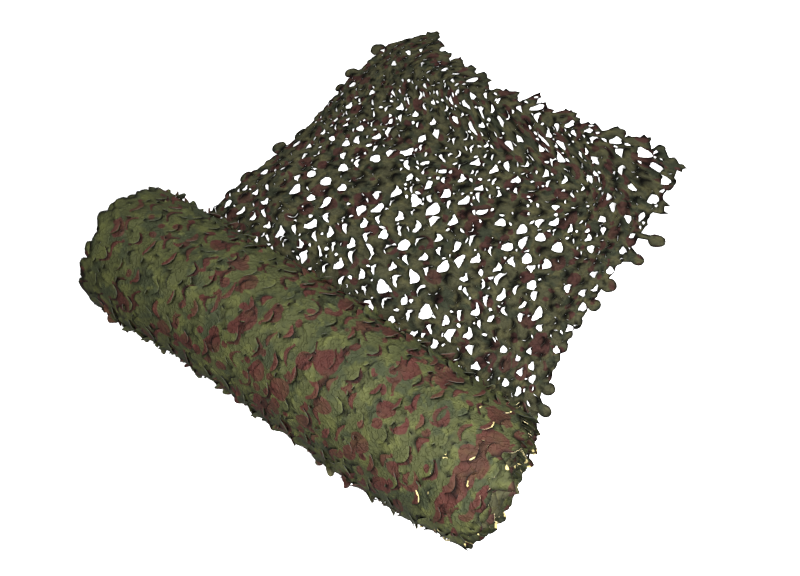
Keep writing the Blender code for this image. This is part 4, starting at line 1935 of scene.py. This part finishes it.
@dataclass
class TurnEdges:
    """The edges of the inner turns, which show as a spiral at one end of the roll."""

    name: str
    end: RollEnd
    form: RollForm
    rings: tuple[BothSides, ...] = table(  # how far they stand out, by share of the radius
        BothSides,
        (0.00, -0.016, -0.016), (0.24, 0.002, -0.006), (0.42, 0.014, 0.008), (0.60, 0.005, -0.004),
        (0.78, 0.012, 0.006), (0.92, 0.004, -0.002), (1.00, 0.000, 0.000),
    )
    pitch: float = 0.0075
    outer_radius: float = ROLL_RADIUS - 0.010
    inner_radius: float = 0.012
    depth: float = 0.070  # how far into the roll the strip reaches
    step: float = 0.010
    columns: tuple[float, ...] = (0.0, 0.35, 0.62, 0.84, 1.0)  # across the strip
    edge_shades: tuple[float, ...] = (1.0, 0.8, 0.4, 0.1, 0.6)  # the painted shade of each: darkest deep between the turns, and again at the cut edge
    sway: float = 0.0022
    set_back: float = 0.022
    lobe: float = 0.075  # from leaf to leaf along the edge
    lobe_width: float = 0.82  # a leaf's share of that length
    lobe_reach: Range = (0.006, 0.026)
    thickness: float = 0.0006

    def spiral(self) -> tuple[Array, Array, Array]:
        """Walks the spiral inwards.

        Returns:
            The angle, radius and length so far at each step.
        """
        angles, radii, lengths = [0.0], [self.outer_radius], [0.0]
        while radii[-1] > self.inner_radius:
            turn = self.step / radii[-1]
            angles.append(angles[-1] + turn)
            radii.append(self.outer_radius - self.pitch * angles[-1] / math.tau)
            lengths.append(lengths[-1] + self.step)
        return np.array(angles), np.array(radii), np.array(lengths)

    def reach(self, angle: Array, radius: Array, length: Array) -> Array:
        """Finds how far the edge stands out of the roll's end.

        Args:
            angle: The angle at each step.
            radius: The radius.
            length: The length so far.

        Returns:
            The distance at each step.
        """
        side = self.end.value
        share = radius / ROLL_RADIUS
        ragged = 0.010 + 0.006 * np.sin(3 * angle + 1.3 * side) + 0.006 * np.sin(8 * angle + 2.1 * side)
        out = read_side(self.rings, share, self.end) + ragged * share
        row = np.floor(length / self.lobe)
        place = (length / self.lobe - row) * 2 - 1
        tall = np.random.default_rng(side + 5).random(int(row[-1]) + 1)[row.astype(int)]
        lobe = np.sqrt(np.clip(1 - (place / self.lobe_width) ** 2, 0.0, 1.0))
        inset = drawn_in(math.pi / 2 - angle, self.end) * smooth_step(0.3, 0.8, share)
        return out - self.set_back - inset + within(self.lobe_reach, tall) * lobe

    def build(self, finishes: Finishes) -> Piece:
        """Makes the spiral of turn edges.

        Args:
            finishes: The materials.

        Returns:
            The strip.
        """
        angle, radius, length = self.spiral()
        out = self.reach(angle, radius, length)
        side = self.end.value
        turned = math.pi / 2 - angle
        places = np.stack([length, np.zeros(len(length))], axis=1)
        rim = np.full(len(turned), side * NET_WIDTH / 2)
        swell = (self.form.radius(rim, turned) - ROLL_RADIUS) * (radius / ROLL_RADIUS) ** 2
        columns, maps = [], []
        for k, share in enumerate(self.columns):
            x = side * (NET_WIDTH / 2 - self.depth + (self.depth + out) * share)
            aside = places + [0.0, 0.03 * k]
            sway = self.sway * smooth_noise(aside, 0.028, 31 + k // 2) * share
            y = (radius + swell + sway) * np.sin(turned)
            z = AXIS_HEIGHT - (radius + swell + sway) * np.cos(turned)
            columns.append(np.stack([x, y, np.maximum(z, INNER_LOWEST)], axis=1))
            maps.append(np.stack([NET_WIDTH / 2 + x, -1.4 - length], axis=1))
        points = self.form.leaned(np.stack(columns, axis=1).reshape(-1, 3))
        count, wide = len(length), len(self.columns)
        start = (np.arange(count - 1)[:, None] * wide + np.arange(wide - 1)[None, :]).ravel()
        faces = np.stack([start, start + wide, start + wide + 1, start + 1], axis=1)
        torn = np.repeat(smooth_step(0.62, 0.72, smooth_noise(places, 0.05, 42)), wide)
        outermost = np.tile(np.array(self.columns) == 1.0, count) & (side > 0)
        values = {
            "leaf_spot": np.zeros(count * wide),
            # painted shade between the turns and along their edges
            "leaf_edge": np.tile(np.array(self.edge_shades), count),
            "leaf_tone": np.repeat(smooth_noise(places, 0.08, 41), wide),
            "leaf_pale": torn * outermost,
        }
        faces = faces[:, ::-1] if side < 0 else faces
        sheet = Sheet(points, faces, np.stack(maps, axis=1).reshape(-1, 2), values)
        piece = sheet.build(self.name, finishes.stack(ClothSide.FACE), self.thickness)
        return piece


@dataclass
class Winding:
    """The closed mass of the inner turns, under the turns that show."""

    form: RollForm
    sunk: float = 0.0085
    half_length: float = NET_WIDTH / 2 - 0.078
    segments: int = 72
    stations: int = 24
    rings: int = 3
    ring_width: float = ROLL_RADIUS * 0.24
    centre_drawn_in: float = 0.010
    map_start: float = -2.8

    def build(self, finishes: Finishes) -> Piece:
        """Makes the drum from a cylinder.

        Args:
            finishes: The materials.

        Returns:
            The drum.
        """
        bpy.ops.mesh.primitive_cylinder_add(
            vertices=self.segments,
            radius=ROLL_RADIUS,
            depth=2 * self.half_length,
            location=(0.0, 0.0, AXIS_HEIGHT),
            rotation=(0.0, math.pi / 2, 0.0),
        )
        piece = bpy.context.object
        mesh = piece.data
        piece.name = mesh.name = "winding"
        bpy.ops.object.transform_apply(location=True, rotation=True, scale=True)
        self._divide(mesh)
        self._swell(mesh)
        layer = mesh.uv_layers.active
        layer.name = UV_NAME
        for loop in mesh.loops:
            point = mesh.vertices[loop.vertex_index].co
            turned = math.atan2(point.y, AXIS_HEIGHT - point.z) % math.tau
            layer.data[loop.index].uv = (point.x + NET_WIDTH / 2, turned * ROLL_RADIUS + self.map_start)
        # the inner mass is painted dark, standing in for the shade between the turns
        inner_shade = {"leaf_edge": 0.9, "leaf_tone": -0.5, "leaf_pale": 0.0, "leaf_spot": 0.0}
        give_values(mesh, {key: np.full(len(mesh.vertices), tone) for key, tone in inner_shade.items()})
        mesh.materials.append(finishes.face)
        mesh.shade_smooth()
        return piece

    def _divide(self, mesh: Mesh) -> None:
        """Cuts the drum's ends into rings and its side into stations.

        Args:
            mesh: The drum's mesh.
        """
        self._pick("FACE", mesh.polygons, [abs(face.normal.x) > 0.9 for face in mesh.polygons])
        for _ in range(self.rings):
            bpy.ops.mesh.inset(thickness=self.ring_width, use_even_offset=True)
        bpy.ops.transform.resize(value=(1 - self.centre_drawn_in / self.half_length, 1.0, 1.0))
        bpy.ops.object.mode_set(mode="OBJECT")
        xs = [point.co.x for point in mesh.vertices]
        runs = [abs(xs[edge.vertices[0]] - xs[edge.vertices[1]]) for edge in mesh.edges]
        self._pick("EDGE", mesh.edges, [run > self.half_length for run in runs])
        bpy.ops.mesh.subdivide(number_cuts=self.stations)
        bpy.ops.object.mode_set(mode="OBJECT")

    @staticmethod
    def _pick(mode: str, parts: bpy.types.bpy_prop_collection, wanted: list[bool]) -> None:
        """Goes into edit mode with only some of a mesh's parts selected.

        Args:
            mode: FACE or EDGE.
            parts: The mesh's faces or edges.
            wanted: Whether each of them is to be selected.
        """
        bpy.ops.object.mode_set(mode="EDIT")
        bpy.ops.mesh.select_mode(type=mode)
        bpy.ops.mesh.select_all(action="DESELECT")
        bpy.ops.object.mode_set(mode="OBJECT")
        parts.foreach_set("select", wanted)
        bpy.ops.object.mode_set(mode="EDIT")

    def _swell(self, mesh: Mesh) -> None:
        """Moves every point of the drum in or out to follow the turns over it.

        Args:
            mesh: The drum's mesh.
        """
        points = np.empty(len(mesh.vertices) * 3)
        mesh.vertices.foreach_get("co", points)
        points = points.reshape(-1, 3)
        share = np.hypot(points[:, 1], points[:, 2] - AXIS_HEIGHT) / ROLL_RADIUS
        turned = np.arctan2(points[:, 1], AXIS_HEIGHT - points[:, 2]) % math.tau
        radius = (self.form.radius(points[:, 0], turned) - self.sunk) * share
        points[:, 1] = radius * np.sin(turned)
        points[:, 2] = np.maximum(INNER_LOWEST, AXIS_HEIGHT - radius * np.cos(turned))
        mesh.vertices.foreach_set("co", self.form.leaned(points).ravel())
        mesh.update()


# ---- floor, light and camera


@dataclass(frozen=True)
class SoftLight:
    """A large soft lamp that looks at one point."""

    name: str
    place: Point
    target: Point
    size: float
    power: float

    def build(self) -> None:
        """Adds the lamp."""
        data = bpy.data.lights.new(self.name, "AREA")
        data.shape = "DISK"
        data.size = self.size
        data.energy = self.power
        lamp = add_object(self.name, data)
        lamp.location = self.place
        way = Vector(self.target) - Vector(self.place)
        lamp.rotation_euler = way.to_track_quat("-Z", "Y").to_euler()


@dataclass(frozen=True)
class Viewpoint:
    """The camera: where it stands, where it looks and how much it takes in."""

    place: Point = (1.0841, -0.9708, 2.5683)
    azimuth: float = 36.3  # degrees from +Y towards -X
    elevation: float = 54.84  # degrees down from level
    roll: float = -2.8
    lens: float = 39.4
    sensor: float = 36.0

    def build(self) -> None:
        """Adds the camera and makes it the scene's own."""
        azimuth, elevation = math.radians(self.azimuth), math.radians(self.elevation)
        level = math.cos(elevation)
        ahead = Vector((-math.sin(azimuth) * level, math.cos(azimuth) * level, -math.sin(elevation)))
        aside = ahead.cross(Vector((0.0, 0.0, 1.0))).normalized()
        above = aside.cross(ahead)
        tilt = math.radians(self.roll)
        right = math.cos(tilt) * aside + math.sin(tilt) * above
        up = math.cos(tilt) * above - math.sin(tilt) * aside
        data = bpy.data.cameras.new("camera")
        data.lens = self.lens
        data.sensor_width = self.sensor
        data.sensor_fit = "HORIZONTAL"
        camera = add_object("camera", data)
        turn = Matrix((right, up, -ahead)).transposed()
        camera.matrix_world = Matrix.Translation(self.place) @ turn.to_4x4()
        bpy.context.scene.camera = camera


@dataclass(frozen=True)
class Studio:
    """The plain pale floor, the even sky and the soft lamps."""

    floor_size: float = 40.0
    floor_colour: Colour = (0.86, 0.86, 0.86)
    floor_glow: float = 0.42
    floor_bounce: Colour = (0.15, 0.15, 0.15)  # what the net sees of the floor
    sky: float = 0.62  # its brightness as a light
    lights: tuple[SoftLight, ...] = table(
        SoftLight,
        ("key", (1.55, -0.95, 2.30), (0.4, 0.1, 0.0), 1.0, 350.0),
        ("top", (0.5, 0.9, 4.0), (0.2, 0.7, 0.0), 2.6, 90.0),
        ("back", (0.4, 2.6, 2.4), (0.2, 0.4, 0.0), 1.6, 60.0),
    )

    def build(self) -> None:
        """Adds all of it."""
        mesh = bpy.data.meshes.new("floor")
        half = self.floor_size / 2
        corners = [(-half, -half, 0.0), (half, -half, 0.0), (half, half, 0.0), (-half, half, 0.0)]
        mesh.from_pydata(corners, [], [(0, 1, 2, 3)])
        mesh.materials.append(self._floor_finish())
        add_object("floor", mesh)
        world = bpy.data.worlds.new("sky")
        world.use_nodes = True
        board = Board(world.node_tree)
        background = world.node_tree.nodes["Background"]
        board.feed(background.inputs["Color"], (1.0, 1.0, 1.0))
        in_view = board.add("LightPath").outputs["Is Camera Ray"]
        strength = board.math("MULTIPLY_ADD", in_view, 1 - self.sky, self.sky)
        board.feed(background.inputs["Strength"], strength)
        bpy.context.scene.world = world
        for light in self.lights:
            light.build()
        bpy.context.scene.view_settings.view_transform = "Standard"

    def _floor_finish(self) -> Material:
        """Makes the floor's material.

        Returns:
            The material: pale in view, and duller in the light it throws back.
        """
        pale, board, shader = start_material("pale floor")
        board.feed(shader["Base Color"], self.floor_colour)
        board.feed(shader["Roughness"], 0.9)
        board.feed(shader["Emission Color"], (1.0, 1.0, 1.0))
        board.feed(shader["Emission Strength"], self.floor_glow)
        dull = board.add("BsdfDiffuse", {"Color": self.floor_bounce}).outputs[0]
        seen = pale.node_tree.nodes["Principled BSDF"].outputs[0]
        in_view = board.add("LightPath").outputs["Is Camera Ray"]
        both = board.add("MixShader", {0: in_view, 1: dull, 2: seen}).outputs[0]
        board.feed(pale.node_tree.nodes["Material Output"].inputs["Surface"], both)
        return pale


# ---- the whole net


def main() -> None:
    """Builds the studio and then the net, piece by piece, and notes the sizes."""
    logging.basicConfig(level=logging.INFO, format="%(name)s: %(message)s")
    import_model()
    bpy.ops.object.select_all(action="DESELECT")
    Viewpoint().build()
    Studio().build()
    finishes = Finishes()
    die = CuttingDie()
    form = RollForm()
    pieces = [
        LooseEnd().build(die, finishes),
        Winding(form).build(finishes),
        RollTurn("outer_turn", form, 0.0, 0.0, 0.0015, 0.0130, CLOTH).build(die, finishes),
        RollTurn("second_turn", form, 0.0050, 0.045, 0.0010, 0.0170, 0.0).build(die, finishes),
        TurnEdges("left_turn_edges", RollEnd.LEFT, form).build(finishes),
        TurnEdges("right_turn_edges", RollEnd.RIGHT, form).build(finishes),
    ]
    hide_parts("net_roll")
    for piece in pieces:
        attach(piece, "root")
        LOG.info("%s: %d faces", piece.name, len(piece.data.polygons))
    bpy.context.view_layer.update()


if __name__ == "__main__":
    main()
